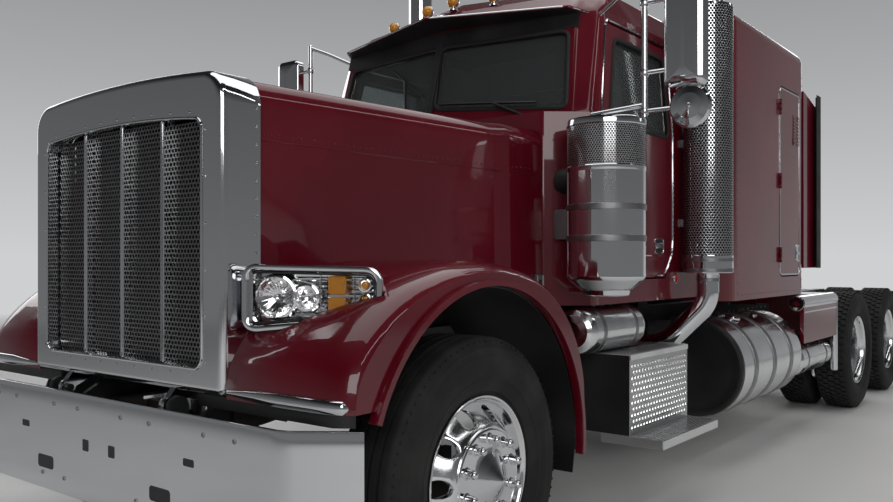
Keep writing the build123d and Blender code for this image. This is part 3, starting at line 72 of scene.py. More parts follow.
def at(station, out, up):
    """A point from millimetres behind the front axle, out to the left and up from the ground."""
    return Vector((front_axle_x - station / 1000, out / 1000, up / 1000))


print("front axle at x", round(front_axle_x, 3), "drive axles at stations", drive_stations)

# %% [markdown]
# Each finish is a small network of nodes. A finish starts from the shader's own sockets, because what is
# the same all over belongs there. Noise in the object's own coordinates then changes roughness or colour a
# little and adds a bump, as polish, dust and casting do on the real thing.


# %% Finish helpers
def finish(name, colour, metallic=0.0, roughness=0.5, **sockets):
    """A material with its plain values on the shader's own sockets."""
    material = bpy.data.materials.new(name)
    material.use_nodes = True
    shader = material.node_tree.nodes["Principled BSDF"]
    values = {"Base Color": (*colour, 1.0), "Metallic": metallic, "Roughness": roughness}
    values.update(sockets)
    for socket, value in values.items():
        shader.inputs[socket].default_value = value
    material.diffuse_color = (*colour, 1.0)
    return material


def node(material, kind, links=None, **values):
    """A node with its settings and input values; links maps an input to another node's output."""
    new = material.node_tree.nodes.new("ShaderNode" + kind)
    for key, value in values.items():
        if key[0].isupper():
            new.inputs[key.replace("_", " ")].default_value = value
        else:
            setattr(new, key, value)
    for key, output in (links or {}).items():
        material.node_tree.links.new(output, new.inputs[key])
    return new


def to_shader(material, socket, output):
    material.node_tree.links.new(output, material.node_tree.nodes["Principled BSDF"].inputs[socket])


def place(material, stretch=(1, 1, 1)):
    """Object coordinates, stretched so that grain can run one way."""
    where = node(material, "TexCoord")
    return node(material, "Mapping", {"Vector": where.outputs["Object"]}, Scale=stretch).outputs["Vector"]


def noise(material, scale, stretch=(1, 1, 1), detail=3.0):
    where = place(material, stretch)
    return node(material, "TexNoise", {"Vector": where}, Scale=scale, Detail=detail).outputs[0]


def rough_between(material, low, high, scale, stretch=(1, 1, 1)):
    """Roughness that wanders between two values."""
    value = noise(material, scale, stretch)
    spread = node(material, "MapRange", {"Value": value}, From_Min=0.35, From_Max=0.65,
                  To_Min=low, To_Max=high)
    to_shader(material, "Roughness", spread.outputs[0])


def colours_between(material, first, second, scale, stretch=(1, 1, 1), start=0.4, end=0.62):
    """A colour that wanders between two."""
    ramp = node(material, "ValToRGB", {"Fac": noise(material, scale, stretch, 5.0)})
    for stop, spot, colour in zip(ramp.color_ramp.elements, (start, end), (first, second)):
        stop.position = spot
        stop.color = (*colour, 1)
    to_shader(material, "Base Color", ramp.outputs["Color"])


def bumped(material, scale, depth, stretch=(1, 1, 1), strength=0.5):
    """Fine unevenness, with its depth in metres."""
    height = noise(material, scale, stretch, 6.0)
    bump = node(material, "Bump", {"Height": height}, Strength=strength, Distance=depth)
    to_shader(material, "Normal", bump.outputs["Normal"])


print("finishes vary in object coordinates, so their grain stays on the piece when it moves")

# %% [markdown]
# The truck wears deep maroon gloss paint under clear lacquer, mirror chrome on the crown, bumper and
# shields, polished alloy on wheels and tanks, and black paint, iron and rubber underneath. The paint gets a
# faint orange peel, the chrome a smear that only shows in reflections, and the alloy a fine turned grain.

# %% The truck's finishes
lacquer = {"Coat Weight": 1.0, "Coat Roughness": 0.02, "Specular IOR Level": 0.15}
paint = finish("maroon_paint", (0.12, 0.003, 0.011), 0.0, 0.3, **lacquer)
colours_between(paint, (0.105, 0.002, 0.009), (0.14, 0.004, 0.014), 1.5)
bumped(paint, 90.0, 0.0006, strength=0.08)
chrome = finish("mirror_chrome", (0.74, 0.75, 0.77), 1.0, 0.06)
bumped(chrome, 4.0, 0.006, (1, 1, 0.35), 0.1)
rough_between(chrome, 0.03, 0.11, 3.0)
alloy = finish("polished_alloy", (0.8, 0.81, 0.82), 1.0, 0.2)
rough_between(alloy, 0.1, 0.24, 6.0, (1, 6, 1))
bumped(alloy, 40.0, 0.0004, (1, 8, 1), 0.1)
brushed = finish("brushed_alloy", (0.6, 0.6, 0.6), 1.0, 0.38)
rough_between(brushed, 0.28, 0.5, 14.0, (1, 1, 12))
bumped(brushed, 60.0, 0.0005, (1, 1, 14), 0.2)
black = finish("chassis_black", (0.014, 0.014, 0.015), 0.0, 0.42)
colours_between(black, (0.011, 0.011, 0.012), (0.03, 0.029, 0.028), 3.0, start=0.45, end=0.75)
bumped(black, 120.0, 0.0008, strength=0.2)
iron = finish("cast_iron", (0.045, 0.043, 0.042), 0.6, 0.6)
colours_between(iron, (0.03, 0.03, 0.03), (0.085, 0.075, 0.065), 6.0)
bumped(iron, 160.0, 0.0015, strength=0.4)
tread = finish("tyre_rubber", (0.02, 0.02, 0.021), 0.0, 0.8)
colours_between(tread, (0.009, 0.009, 0.01), (0.02, 0.02, 0.019), 7.0)
bumped(tread, 220.0, 0.0008, strength=0.3)
rubber = finish("black_rubber", (0.015, 0.015, 0.015), 0.0, 0.6)
bumped(rubber, 90.0, 0.0006, strength=0.25)
rough_between(rubber, 0.5, 0.7, 8.0)
trim = finish("dark_trim", (0.045, 0.04, 0.038), 0.0, 0.6)
bumped(trim, 300.0, 0.0005, strength=0.3)
cloth = finish("seat_cloth", (0.085, 0.07, 0.066), 0.0, 0.9, **{"Sheen Weight": 0.3})
bumped(cloth, 500.0, 0.0008, strength=0.5)
steel = finish("grey_steel", (0.32, 0.32, 0.33), 1.0, 0.38)
rough_between(steel, 0.28, 0.5, 12.0)
screen = finish("screen_steel", (0.24, 0.24, 0.24), 1.0, 0.36)
rough_between(screen, 0.28, 0.45, 8.0)
see_through = {"Transmission Weight": 0.9, "IOR": 1.45, "Alpha": 1.0}
glass = finish("tinted_glass", (0.42, 0.46, 0.46), 0.0, 0.02, **see_through)
clear = finish("lamp_glass", (0.97, 0.97, 0.98), 0.0, 0.02, **{"Transmission Weight": 1.0, "IOR": 1.2})
amber = finish("amber_lens", (0.95, 0.38, 0.02), 0.0, 0.12,
               **{"Transmission Weight": 0.25, "Coat Weight": 0.6})
red = finish("red_lens", (0.5, 0.008, 0.006), 0.0, 0.12, **{"Transmission Weight": 0.2, "Coat Weight": 0.6})
lamp_silver = finish("lamp_silver", (0.97, 0.97, 0.97), 1.0, 0.08)
rough_between(lamp_silver, 0.05, 0.12, 20.0)
mirror = finish("mirror_glass", (0.9, 0.91, 0.92), 1.0, 0.015)
for lens in (amber, red):
    bumped(lens, 60.0, 0.002, (1, 1, 4), 0.3)
looks = {
    "body_paint": paint, "bright": chrome, "polished_alloy": alloy, "alloy": brushed, "chassis": black,
    "running_gear": iron, "tyre": tread, "glass": glass, "lamp_cover": clear, "amber": amber,
    "screen": screen, "rubber": rubber, "trim": trim, "cloth": cloth,
}
print(len(looks), "finishes for the record's slots")

# %% [markdown]
# The solids that stay in view keep their meshes. Points that coincide are joined, and a small bevel rounds
# the sharp edges of pressed and rolled metal, so that every edge catches a line of light.


# %% Dress the solids that stay
def soften(piece, width):
    """A small round on a piece's sharp edges, its width in millimetres."""
    edge = piece.modifiers.new("edges", "BEVEL")
    edge.width = width / 1000
    edge.segments = 2
    edge.limit_method = "ANGLE"
    edge.angle_limit = radians(35)
    edge.harden_normals = True


for entry in frame["record"]["subparts"]:
    solid = nodes[entry["node"]]
    solid.data.materials.clear()
    solid.data.materials.append(looks[entry["material_slot"]])
    solid.modifiers.new("joined", "WELD").merge_threshold = 0.00001
    soften(solid, 3)

# %% [markdown]
# Most truck parts are made in one of four ways: turned about an axis, drawn as a tube, cut from plate, or
# pressed from sheet. `Shape` gathers faces made in those ways and then turns them into one object that
# rides on a body. Mesh code is used, and not ready-made solids, because every profile here comes from the
# real part's section.


# %% The shape maker
slot_of = {look.name: slot for slot, look in looks.items()}
slot_of.update({steel.name: "running_gear", red.name: "amber", mirror.name: "bright",
                lamp_silver.name: "bright"})
merge_gap = 2e-6


def square_to(axis):
    """Two directions square to an axis and to each other."""
    axis = Vector(axis).normalized()
    first = axis.cross(Vector(upwards))
    if first.length < 0.01:
        first = Vector(forwards)
    first.normalize()
    return first, axis.cross(first)


def circle(middle, first, second, radius, steps):
    """Points round a middle in the plane of two directions, at a radius in millimetres."""
    return [middle + (first * cos(2 * pi * n / steps) + second * sin(2 * pi * n / steps)) * radius / 1000
            for n in range(steps)]


def held(profile):
    """The profile with a point 2 mm from each end of its long runs, which keeps their shading flat."""
    points = [profile[0]]
    for (r0, a0), (r1, a1) in zip(profile, profile[1:]):
        long = hypot(r1 - r0, a1 - a0)
        if long > 24:
            points += [(r0 + (r1 - r0) * t, a0 + (a1 - a0) * t) for t in (2 / long, 1 - 2 / long)]
        points.append((r1, a1))
    return points


class Shape:
    """Faces that will become one piece."""

    def __init__(self):
        self.points = []
        self.faces = []

    def add(self, points, faces):
        first = len(self.points)
        self.points += [Vector(point) for point in points]
        self.faces += [[first + number for number in face] for face in faces]
        return self

    def join(self, other):
        """Takes in another shape's faces."""
        return self.add(other.points, other.faces)

    def skin(self, rings, closed=True, caps=True, loop=False):
        """Joins rings that have equally many points."""
        count = len(rings[0])
        faces = []
        for step in range(len(rings) if loop else len(rings) - 1):
            a = step * count
            b = (step + 1) % len(rings) * count
            for here in range(count if closed else count - 1):
                there = (here + 1) % count
                faces.append((a + here, a + there, b + there, b + here))
        if caps and not loop:
            faces.append(tuple(reversed(range(count))))
            faces.append(tuple(range(len(rings) * count - count, len(rings) * count)))
        return self.add([point for ring in rings for point in ring], faces)

    def turned(self, profile, centre, axis, steps=48, loop=False):
        """A (radius, along) profile in millimetres, turned about an axis through a centre."""
        axis = Vector(axis).normalized()
        first, second = square_to(axis)
        profile = profile if loop else held(profile)
        rings = [circle(centre + axis * along / 1000, first, second, radius, steps)
                 for radius, along in profile]
        return self.skin(rings, caps=False, loop=loop)

    def tube(self, path, radius, steps=14, caps=True):
        """A round bar of a radius in millimetres along a path of points."""
        rings = []
        first = None
        for number, point in enumerate(path):
            before = path[max(number - 1, 0)]
            after = path[min(number + 1, len(path) - 1)]
            along = (after - before).normalized()
            if first is None:
                first, _ = square_to(along)
            first = (first - along * first.dot(along)).normalized()
            rings.append(circle(point, first, along.cross(first), radius, steps))
        return self.skin(rings, caps=caps)

    def plate(self, outline, shift):
        """A flat outline of points, thickened by a shift in millimetres."""
        shift = Vector(shift) / 1000
        return self.skin([outline, [point + shift for point in outline]])

    def block(self, low, high):
        """A block between two (station, out, up) corners."""
        (s0, y0, z0), (s1, y1, z1) = low, high
        return self.plate([at(s0, y0, z0), at(s1, y0, z0), at(s1, y1, z0), at(s0, y1, z0)], (0, 0, z1 - z0))

    def dome(self, spot, facing, radius, height, steps=8):
        """A rivet's or bolt's domed head, in millimetres."""
        profile = [(radius, 0), (radius * 0.8, height * 0.7), (radius * 0.35, height), (0, height)]
        return self.turned(profile, spot, facing, steps)

    def mirrored(self):
        """Adds the same faces on the truck's other side."""
        return self.join(self.flipped())

    def flipped(self):
        """The same shape on the truck's other side."""
        return Shape().add([(p.x, -p.y, p.z) for p in self.points], [face[::-1] for face in self.faces])

    def make(self, name, look, body="root", replaces=(), sharp=38, bevel=0.0):
        """One object in the shared frame, riding on a body."""
        mesh = bpy.data.meshes.new(name)
        mesh.from_pydata(self.points, [], self.faces)
        work = bmesh.new()
        work.from_mesh(mesh)
        bmesh.ops.remove_doubles(work, verts=work.verts, dist=merge_gap)
        bmesh.ops.recalc_face_normals(work, faces=work.faces)
        work.to_mesh(mesh)
        work.free()
        mesh.shade_smooth()
        mesh.set_sharp_from_angle(angle=radians(sharp))
        mesh.materials.append(look)
        piece = bpy.data.objects.new(name, mesh)
        scene.collection.objects.link(piece)
        if bevel:
            soften(piece, bevel)
        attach(piece, body)
        if replaces:
            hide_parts(*replaces)
        return piece


print(len(slot_of), "finishes have a slot of the record")

# %% [markdown]
# Outlines and paths come from a few corners, which are then rounded as a press or a tube bender rounds
# them. Doors and wheels come in pairs: the left piece is drawn, and the right one is its mirror image on
# the right-hand body.


# %% Outlines, paths and pairs
def soft_corner(before, corner, after, reach, steps):
    """Points round a corner, from a reach before it to a reach after it."""
    start = corner + (before - corner).normalized() * reach
    end = corner + (after - corner).normalized() * reach
    return [start * (1 - t) ** 2 + corner * 2 * t * (1 - t) + end * t * t for t in
            (step / steps for step in range(steps + 1))]


def bent(points, radius, steps=6):
    """A path of straight runs with its corners rounded, in metres, the radius in millimetres."""
    path = [points[0]]
    for before, corner, after in zip(points, points[1:], points[2:]):
        reach = min(radius / 1000, (before - corner).length * 0.49, (after - corner).length * 0.49)
        path += soft_corner(before, corner, after, reach, steps)
    return path + [points[-1]]


def rounded(half_width, half_height, radius, steps=6):
    """A rounded rectangle as flat (across, up) pairs in millimetres, anticlockwise."""
    outline = []
    for corner, (sx, sy) in enumerate(((1, 1), (-1, 1), (-1, -1), (1, -1))):
        for step in range(steps + 1):
            turn = pi / 2 * (corner + step / steps)
            outline.append((sx * (half_width - radius) + radius * cos(turn),
                            sy * (half_height - radius) + radius * sin(turn)))
    return outline


def oblong(left, base, right, top):
    """A rectangle's four corners, anticlockwise."""
    return [(left, base), (right, base), (right, top), (left, top)]


def loop_of(corners, inset=0.0, radius=40.0, steps=5):
    """An anticlockwise outline of flat corners, drawn in by an inset, its corners rounded."""
    count = len(corners)
    drawn = []
    for number in range(count):
        before, here, after = (Vector(corners[(number + shift) % count]) for shift in (-1, 0, 1))
        along, on = (here - before).normalized(), (after - here).normalized()
        left, right = Vector((-along.y, along.x)), Vector((-on.y, on.x))
        drawn.append(here + (left + right) / (1 + left.dot(right)) * inset)
    loop = []
    for number in range(count):
        before, here, after = (drawn[(number + shift) % count] for shift in (-1, 0, 1))
        reach = min(max(radius - inset, 3), (before - here).length * 0.45, (after - here).length * 0.45)
        loop += [(spot.x, spot.y) for spot in soft_corner(before, here, after, reach, steps)]
    return loop


def section_rings(corners, section, spot, radius):
    """One rounded outline for each (inset, out) pair; spot turns (a, b, out) into a point."""
    return [[spot(a, b, out) for a, b in loop_of(corners, inset, radius)] for inset, out in section]


def carried(shape, corners, section, spot, radius=40.0):
    """A closed section carried round an outline."""
    shape.skin(section_rings(corners, section, spot, radius), caps=False, loop=True)


def make_pairs(body, *pieces, **options):
    """Pieces for the left body, mirrored for the right one, each as (shape, name, look, replaced node)."""
    for side in ("left", "right"):
        for shape, name, look, *replaced in pieces:
            one = shape if side == "left" else shape.flipped()
            one.make(f"{name}_{side}", look, f"{body}_{side}",
                     [f"{old}_{side}" for old in replaced], **options)


print("a rounded outline has", len(loop_of(oblong(0, 0, 100, 100))), "points")

# %% [markdown]
# ## Wheels
# A steer tyre has plain ribs round it, made by turning one profile with grooves in it. A drive tyre has
# lugs, so its carcass is turned a little smaller and rows of blocks are set on it. Sculpting a tread by
# hand would never come out even; a loop does.

# %% Tyres
drive_low, drive_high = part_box("tyres_drive1_left")
tyre_r = (tyre_high.z - tyre_low.z) / 2 * 1000
tyre_half = (tyre_high.y - tyre_low.y) / 2 * 1000
tread_half = tyre_half - 40
steer_middle_out = (tyre_low.y + tyre_high.y) / 2 * 1000
outer_middle_out = drive_high.y * 1000 - tyre_half
inner_middle_out = drive_low.y * 1000 + tyre_half
sidewall = [(radius, tyre_half - inward) for radius, inward in (
    (287, 44), (304, 38), (311, 36), (314, 28), (322, 24), (340, 15), (358, 9), (360, 6), (364, 6), (367, 7),
    (398, 0.5), (410, 1), (440, 3.5), (444, 2.5), (448, 5), (470, 11), (474, 10), (478, 15),
    (496, 24), (505, 31))]
steer_grooves, groove_depth = (66, 24, -24, -66), 14
shoulder_marks, shoulder_r = 90, 497.5
lug_rows = ((88, 34, 0.0), (46, 34, 0.5), (0, 40, 0.0), (-46, 34, 0.5), (-88, 34, 0.0))
lugs_round, lug_share, lug_tall, lug_skew = 58, 0.36, 15, 4


def spoke(turn):
    """A direction square to a wheel's axle."""
    return Vector((cos(turn), 0, sin(turn)))


def whole_profile(side_points, crown):
    """A tyre's profile from one bead over the tread to the other."""
    return side_points + crown + [(radius, -along) for radius, along in reversed(side_points)]


def steer_tyre():
    """A ribbed tyre with small marks moulded round both shoulders."""
    shape = Shape()
    middle = at(0, steer_middle_out, axle_up)
    crown = [(tyre_r - 3, tread_half + 2), (tyre_r - 0.5, tread_half - 8)]
    for groove in steer_grooves:
        crown += [(tyre_r - 0.2, groove + 7), (tyre_r - groove_depth, groove + 5),
                  (tyre_r - groove_depth, groove - 5), (tyre_r - 0.2, groove - 7)]
    crown += [(tyre_r - 0.5, -tread_half + 8), (tyre_r - 3, -tread_half - 2)]
    shape.turned(whole_profile(sidewall, crown), middle, outwards, 112)
    for number in range(shoulder_marks):
        for along in (tyre_half - 24, -tyre_half + 24):
            outward = spoke(2 * pi * number / shoulder_marks) * (shoulder_r / 1000)
            shape.dome(at(0, steer_middle_out + along, axle_up) + outward, (0, along, 0), 5, 5, 4)
    return shape


def drive_tyre(station, middle):
    """A carcass with five rows of lugs, the rows set half a lug apart."""
    shape = Shape()
    low = tyre_r - lug_tall
    lug_turn = 2 * pi / lugs_round * lug_share
    carcass = whole_profile(sidewall[:-1], [(low, tread_half + 4), (low, -tread_half - 4)])
    shape.turned(carcass, at(station, middle, axle_up), outwards, 96)
    for along, width, offset in lug_rows:
        corners = ((-1, -1), (-1, 1), (1, 1), (1, -1))
        for number in range(lugs_round):
            turn = 2 * pi * (number + offset) / lugs_round
            shape.skin([[
                at(station, middle + along + (end * width / 2 - edge * lug_skew), axle_up)
                + spoke(turn + edge * lug_turn) * radius / 1000
                for edge, end in corners
            ] for radius in (low - 2, tyre_r - 0.3)])
    return shape


make_pairs("front_wheel", (steer_tyre(), "steer_tyre", tread, "tyre_front"))
for number, station in enumerate(drive_stations, 1):
    twins = drive_tyre(station, outer_middle_out).join(drive_tyre(station, inner_middle_out))
    make_pairs(f"drive_wheels{number}", (twins, f"drive_tyres{number}", tread, f"tyres_drive{number}"))
print("tyres", round(tyre_r * 2), "mm across,", lugs_round * len(lug_rows), "lugs on each drive tyre")

# %% [markdown]
# The wheels are forged alloy discs with round hand holes. A hole in a turned disc spoils its rings, so the
# disc is made sector by sector: each sector's faces run from the edge of its own hole out to the sector's
# border, and the borders meet exactly.

# %% Discs with hand holes
holes_round = 10


def holed_disc(shape, centre, depths, hole_middle, hole_r, wall):
    """A disc through (radius, depth) points, with round hand holes."""
    def depth_at(radius):
        for (r0, d0), (r1, d1) in zip(depths, depths[1:]):
            if min(r0, r1) <= radius <= max(r0, r1):
                return d0 + (d1 - d0) * (radius - r0) / (r1 - r0)
        return depths[-1][1]

    inner_r, outer_r = depths[-1][0], depths[0][0]
    half = pi / holes_round
    shares = [n / 8 for n in range(8)]
    border = [(outer_r, -half + 2 * half * t) for t in shares]
    border += [(outer_r + (inner_r - outer_r) * t, half) for t in shares]
    border += [(inner_r, half - 2 * half * t) for t in shares]
    border += [(inner_r + (outer_r - inner_r) * t, -half) for t in shares]
    edge = []
    for radius, turn in border:
        toward = atan2(turn * hole_middle, radius - hole_middle)
        edge.append((hole_middle + hole_r * cos(toward), hole_r * sin(toward) / hole_middle))
    for hole in range(holes_round):
        middle = 2 * pi * hole / holes_round

        def spot(radius, turn, sink=0.0):
            return (centre + spoke(middle + turn) * radius / 1000
                    + Vector((0, (depth_at(radius) - sink) / 1000, 0)))

        rings = [[spot(radius, turn, sink) for radius, turn in edge] for sink in (wall, 2)]
        for share in (0.08, 0.35, 0.7, 1.0):
            rings.append([spot(er + (br - er) * share, et + (bt - et) * share)
                          for (er, et), (br, bt) in zip(edge, border)])
        shape.skin(rings, caps=False)


print("each disc has", holes_round, "hand holes")

# %% [markdown]
# Lug nuts wear tall bright caps, and the hub wears a cover that ends in a point. A drive wheel is two rims
# back to back on one hub, so its disc lies deep inside the outer rim.

# %% Rims, hub covers and nut caps
disc_wall = 20


def nut_caps(centre, depth, radius, tall):
    """Bright thimbles over the lug nuts."""
    shape = Shape()
    profile = [(23, 0), (23, 5), (17, 9), (16, tall - 14), (13, tall - 5), (7, tall - 1), (0, tall)]
    for number in range(holes_round):
        turn = 2 * pi * (number + 0.5) / holes_round
        spot = centre + spoke(turn) * radius / 1000 + Vector((0, depth / 1000, 0))
        shape.turned(profile, spot, outwards, 14)
    return shape


rim_barrel = [
    (262, -150), (262, -70), (283, -40), (286, -18), (290, -13), (296, -10), (298.3, -7),
    (298.3, -2), (296, 0), (291, -0.5), (287, -4), (283, -12), (279, -14), (276, -24), (271, -44), (262, -54),
]
steer_flange = at(0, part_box("rim_front_left")[1].y * 1000 - 100, axle_up)
wheel = Shape().turned(rim_barrel, steer_flange, outwards, 96)
back_flange = [(298, -228), (298, -218), (286, -212), (262, -160), (250, -160), (274, -214), (290, -228)]
wheel.turned(back_flange, steer_flange, outwards, 72, loop=True)
wheel.turned([(262, -150), (250, -150), (250, -70)], steer_flange, outwards, 72)
holed_disc(wheel, steer_flange, [(266, -50), (250, -36), (212, 8), (196, 22), (190, 26)], 229, 33, disc_wall)
wheel.turned([(190, 26), (187, 31), (183, 31), (180, 27), (176, 26), (60, 26)], steer_flange, outwards, 72)
pointed = [(182, 28), (176, 33), (120, 36), (98, 38), (92, 42), (60, 62), (30, 82), (8, 97), (0, 99.5)]
cover = Shape().turned(pointed, steer_flange, outwards, 40)
cover.join(nut_caps(steer_flange, 30, 145, 52))
make_pairs("front_wheel", (wheel, "steer_wheel", alloy, "rim_front"), (cover, "steer_hub_cover", chrome))

outer_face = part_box("rims_drive1_left")[1].y * 1000
spacing = outer_middle_out - inner_middle_out
deep = -228 - 57
outer_rim = [(298, -228), (298, -218), (286, -212), (262, -160), (262, -54), (250, -60),
             (250, -200), (274, -222)]
inner_rim = [(298, 0), (298, -8), (286, -14), (262, -60), (262, -160), (286, -212), (298, -218), (298, -228),
             (276, -224), (250, -160), (250, -60), (276, -10)]
for number, station in enumerate(drive_stations, 1):
    flange = at(station, outer_face, axle_up)
    rims = Shape().turned(rim_barrel, flange, outwards, 80)
    rims.turned(outer_rim, flange, outwards, 72, loop=True)
    rims.turned(inner_rim, flange - Vector((0, spacing / 1000, 0)), outwards, 64, loop=True)
    holed_disc(rims, flange, [(254, -188), (236, -208), (205, deep + 36), (170, deep + 22)],
               214, 26, disc_wall)
    rims.turned([(170, deep + 22), (60, deep + 22)], flange, outwards, 64)
    rims.turned([(60, deep - 30), (200, deep - 40), (200, deep - 190), (120, deep - 200)],
                flange, outwards, 48)
    hat = Shape().turned([(104, deep + 22), (106, deep + 30), (98, deep + 40), (92, -110),
                          (84, -96), (60, -88), (30, -78), (8, -72), (0, -71)], flange, outwards, 40)
    hat.join(nut_caps(flange, deep + 22, 142, 60))
    make_pairs(f"drive_wheels{number}", (rims, f"drive_rims{number}", alloy, f"rims_drive{number}"),
               (hat, f"drive_hub_cover{number}", chrome))
print("wheels with", holes_round, "nut caps each")

# %% [markdown]
# ## The front
# The grille's screens are punched steel: staggered round holes right through a thin plate. A pattern
# painted on would show as flat from the side, so the holes are real. Each hole sits in its own hexagon of
# metal, and hexagons fill a plate with no gaps, so the plate is one loop over rows and columns.

# %% Punched grille screens
screen_low, screen_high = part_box("grille_screens")
crown_low, crown_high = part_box("grille_crown")
opening_half = screen_high.y * 1000
opening_base = screen_low.z * 1000
opening_top = screen_high.z * 1000
opening_side = opening_top - 28
hole_pitch = 19.0
hole_radius = hole_pitch * 0.40
cell = hole_pitch / 2 / cos(pi / 6)
row_step = cell * 1.5
rows = int((opening_top - opening_base) / row_step)
columns = int(opening_half / hole_pitch) + 1


def opening_height(out):
    """How high the opening's arch stands at a distance out."""
    return opening_side + (opening_top - opening_side) * (1 - (out / opening_half) ** 2)


def hexagon(out, up, radius, sink=0.0):
    """Six points on the screen's face or sunk behind it, in millimetres."""
    face = screen_high.x - 0.0005 - sink / 1000
    return [Vector((face, (out + radius * cos(t)) / 1000, (up + radius * sin(t)) / 1000))
            for t in (pi / 6 + pi / 3 * n for n in range(6))]


screens = Shape()
holes = 0
for row in range(rows):
    up = opening_base + cell * 0.8 + row * row_step
    for column in range(-columns, columns + 1):
        out = (column + 0.5 * (row % 2)) * hole_pitch
        if abs(out) <= opening_half - cell * 0.6 and up <= opening_height(out) - cell * 0.7:
            depths = ((cell, 0), (hole_radius, 0.6), (hole_radius, 4))
            screens.skin([hexagon(out, up, radius, sink) for radius, sink in depths], caps=False)
            holes += 1
screens.make("punched_screens", screen, "hood", ["grille_screens"], sharp=30)
print(holes, "holes in the grille's screens")

# %% [markdown]
# Bright pressed trim frames the opening: a rolled bead, rivets along it and down the crown's rear edge, and
# three upright bars with three ribs each and rounded heads. Bead and rivets are laid on the crown's own
# curved face.

# %% Grille bead, bars and rivets
corner_r = 40
middle_up = (opening_base + opening_top) / 2
low_corner, high_corner = opening_base + corner_r, opening_side - corner_r + 4


def bead_corner(side, up, start):
    """A quarter round of the bead in a corner of the opening."""
    turns = [radians(start + 90 * step / 6) for step in range(7)]
    return [(side * (opening_half - corner_r) + corner_r * cos(t), up + corner_r * sin(t)) for t in turns]


def crown_spot(out, up, outset=0.0):
    """The crown's front face at a place, looked for a little further out from the opening's middle."""
    aside = Vector((out, up - middle_up)).normalized() * outset
    start = Vector((crown_high.x + 1, (out + aside.x) / 1000, (up + aside.y) / 1000))
    hit, spot, facing, _ = nodes["grille_crown"].ray_cast(start, Vector(backwards))
    return Vector((spot.x if hit else crown_high.x, out / 1000, up / 1000))


arch = [(opening_half - corner_r) * (1 - step / 12) for step in range(1, 24)]
bead_points = (bead_corner(1, low_corner, -90) + bead_corner(1, high_corner, 0)
               + [(out, opening_height(out)) for out in arch]
               + bead_corner(-1, high_corner, 90) + bead_corner(-1, low_corner, 180))
bead_path = [crown_spot(out, up, 9) + Vector((0.001, 0, 0)) for out, up in bead_points]
front_trim = Shape().tube(bead_path + bead_path[:1], 5, 8, caps=False)
bar_front = screen_high.x + 0.030
bar_section = [(-11, -14), (-11, -3), (-7.5, 0), (-4.5, -1.5), (-3, 3)]
bar_section += [(-across, depth) for across, depth in reversed(bar_section)]
for number in (-1, 0, 1):
    middle = number * opening_half * 2 / 4
    top = opening_height(middle)
    ends = ((opening_base - 2, 0), (opening_base, 1), (top - 6, 1), (top + 2, 1), (top + 9, 0.75),
            (top + 12, 0.3))
    front_trim.skin([
        [Vector((bar_front + depth * max(grow, 0.4) / 1000, (middle + across * grow) / 1000, up / 1000))
         for across, depth in bar_section]
        for up, grow in ends
    ])
for number in range(0, 11, 2):
    up = opening_base + 20 + (opening_side - opening_base - 60) * number / 10
    for side in (1, -1):
        front_trim.dome(crown_spot(side * (opening_half + 20), up), forwards, 4.5, 3)
for number in range(-4, 5):
    out = number * opening_half / 4.6
    for up in (opening_height(out) + 20, opening_base - 20):
        front_trim.dome(crown_spot(out, up), forwards, 4.5, 3)
for number in range(16):
    up = crown_low.z * 1000 + 130 + number * 62
    for side in (1, -1):
        front_trim.dome(Vector((crown_low.x + 0.018, side * crown_high.y, up / 1000)), (0, side, 0), 5, 3)
front_trim.make("grille_trim", chrome, "hood")
print("grille opening", round(opening_half * 2), "mm wide and", round(opening_top - opening_base), "mm high")

# %% [markdown]
# The bumper is one deep bright plate, bent back at its ends, with its edges rolled. It has two wide tow
# slots, small square openings and polished bolts. The plate is a skin of rings, each ring one section of
# the plate, so the rolled edges and the bend come from the same loop.

# %% Bumper
bumper_low, bumper_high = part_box("bumper")
flat_out, bend_r = 1.010, 0.14
face_x = bumper_high.x - 0.006
base, top = bumper_low.z * 1000, bumper_high.z * 1000


def bumper_line():
    """The bumper's front line from the middle to its left tip: (x, out) and how far it has turned."""
    bend_turn = atan2(bumper_high.x - bumper_low.x - 0.004, bumper_high.y - flat_out)
    start = flat_out - bend_r * sin(bend_turn / 2) / cos(bend_turn / 2)
    line = [(face_x, n / 10, 0.0) for n in range(10)]
    for step in range(9):
        turn = bend_turn * step / 8
        line.append((face_x - bend_r * (1 - cos(turn)), start + bend_r * sin(turn), turn))
    last_x, last_out, _ = line[-1]
    run = (bumper_high.y - last_out) / cos(bend_turn) - 0.002
    return line + [(last_x - run * sin(bend_turn), last_out + run * cos(bend_turn), bend_turn)]


edge_profile = [(8, base + 14), (8, base + 4), (5, base), (1.5, base + 1.5), (0, base + 8)]
edge_profile += [(0, base + 8 + (top - base - 16) * n / 6) for n in range(1, 6)]
edge_profile += [(0, top - 8), (1.5, top - 1.5), (5, top), (9, top - 1), (16, top - 2),
                 (26, top - 3), (26, top - 7), (8, top - 8)]
line = bumper_line()
whole_line = [(x, -out, -turn) for x, out, turn in reversed(line[1:])] + line
Shape().skin([
    [Vector((x - inset / 1000 * cos(turn), out - inset / 1000 * sin(turn), up / 1000))
     for inset, up in edge_profile]
    for x, out, turn in whole_line
]).make("bright_bumper", chrome, "root", ["bumper"], sharp=50)
slots, bumper_bolts = Shape(), Shape()
for side in (1, -1):
    openings = ((395, 505, 62, 26, 14), (560, 640, 30, 13, 6), (90, 610, 22, 22, 6))
    for out, up, half_w, half_h, corner in openings:
        slots.plate([Vector((face_x + 0.0003, (side * out + a) / 1000, (up + b) / 1000))
                     for a, b in rounded(half_w, half_h, corner)], (-1.2, 0, 0))
    for out, up in ((150, 742), (330, 742), (640, 742), (800, 742), (250, 460), (420, 460)):
        bumper_bolts.dome(Vector((face_x, side * out / 1000, up / 1000)), forwards, 9, 5, 12)
slots.make("bumper_slots", black, "root")
bumper_bolts.make("bumper_bolts", steel, "root")
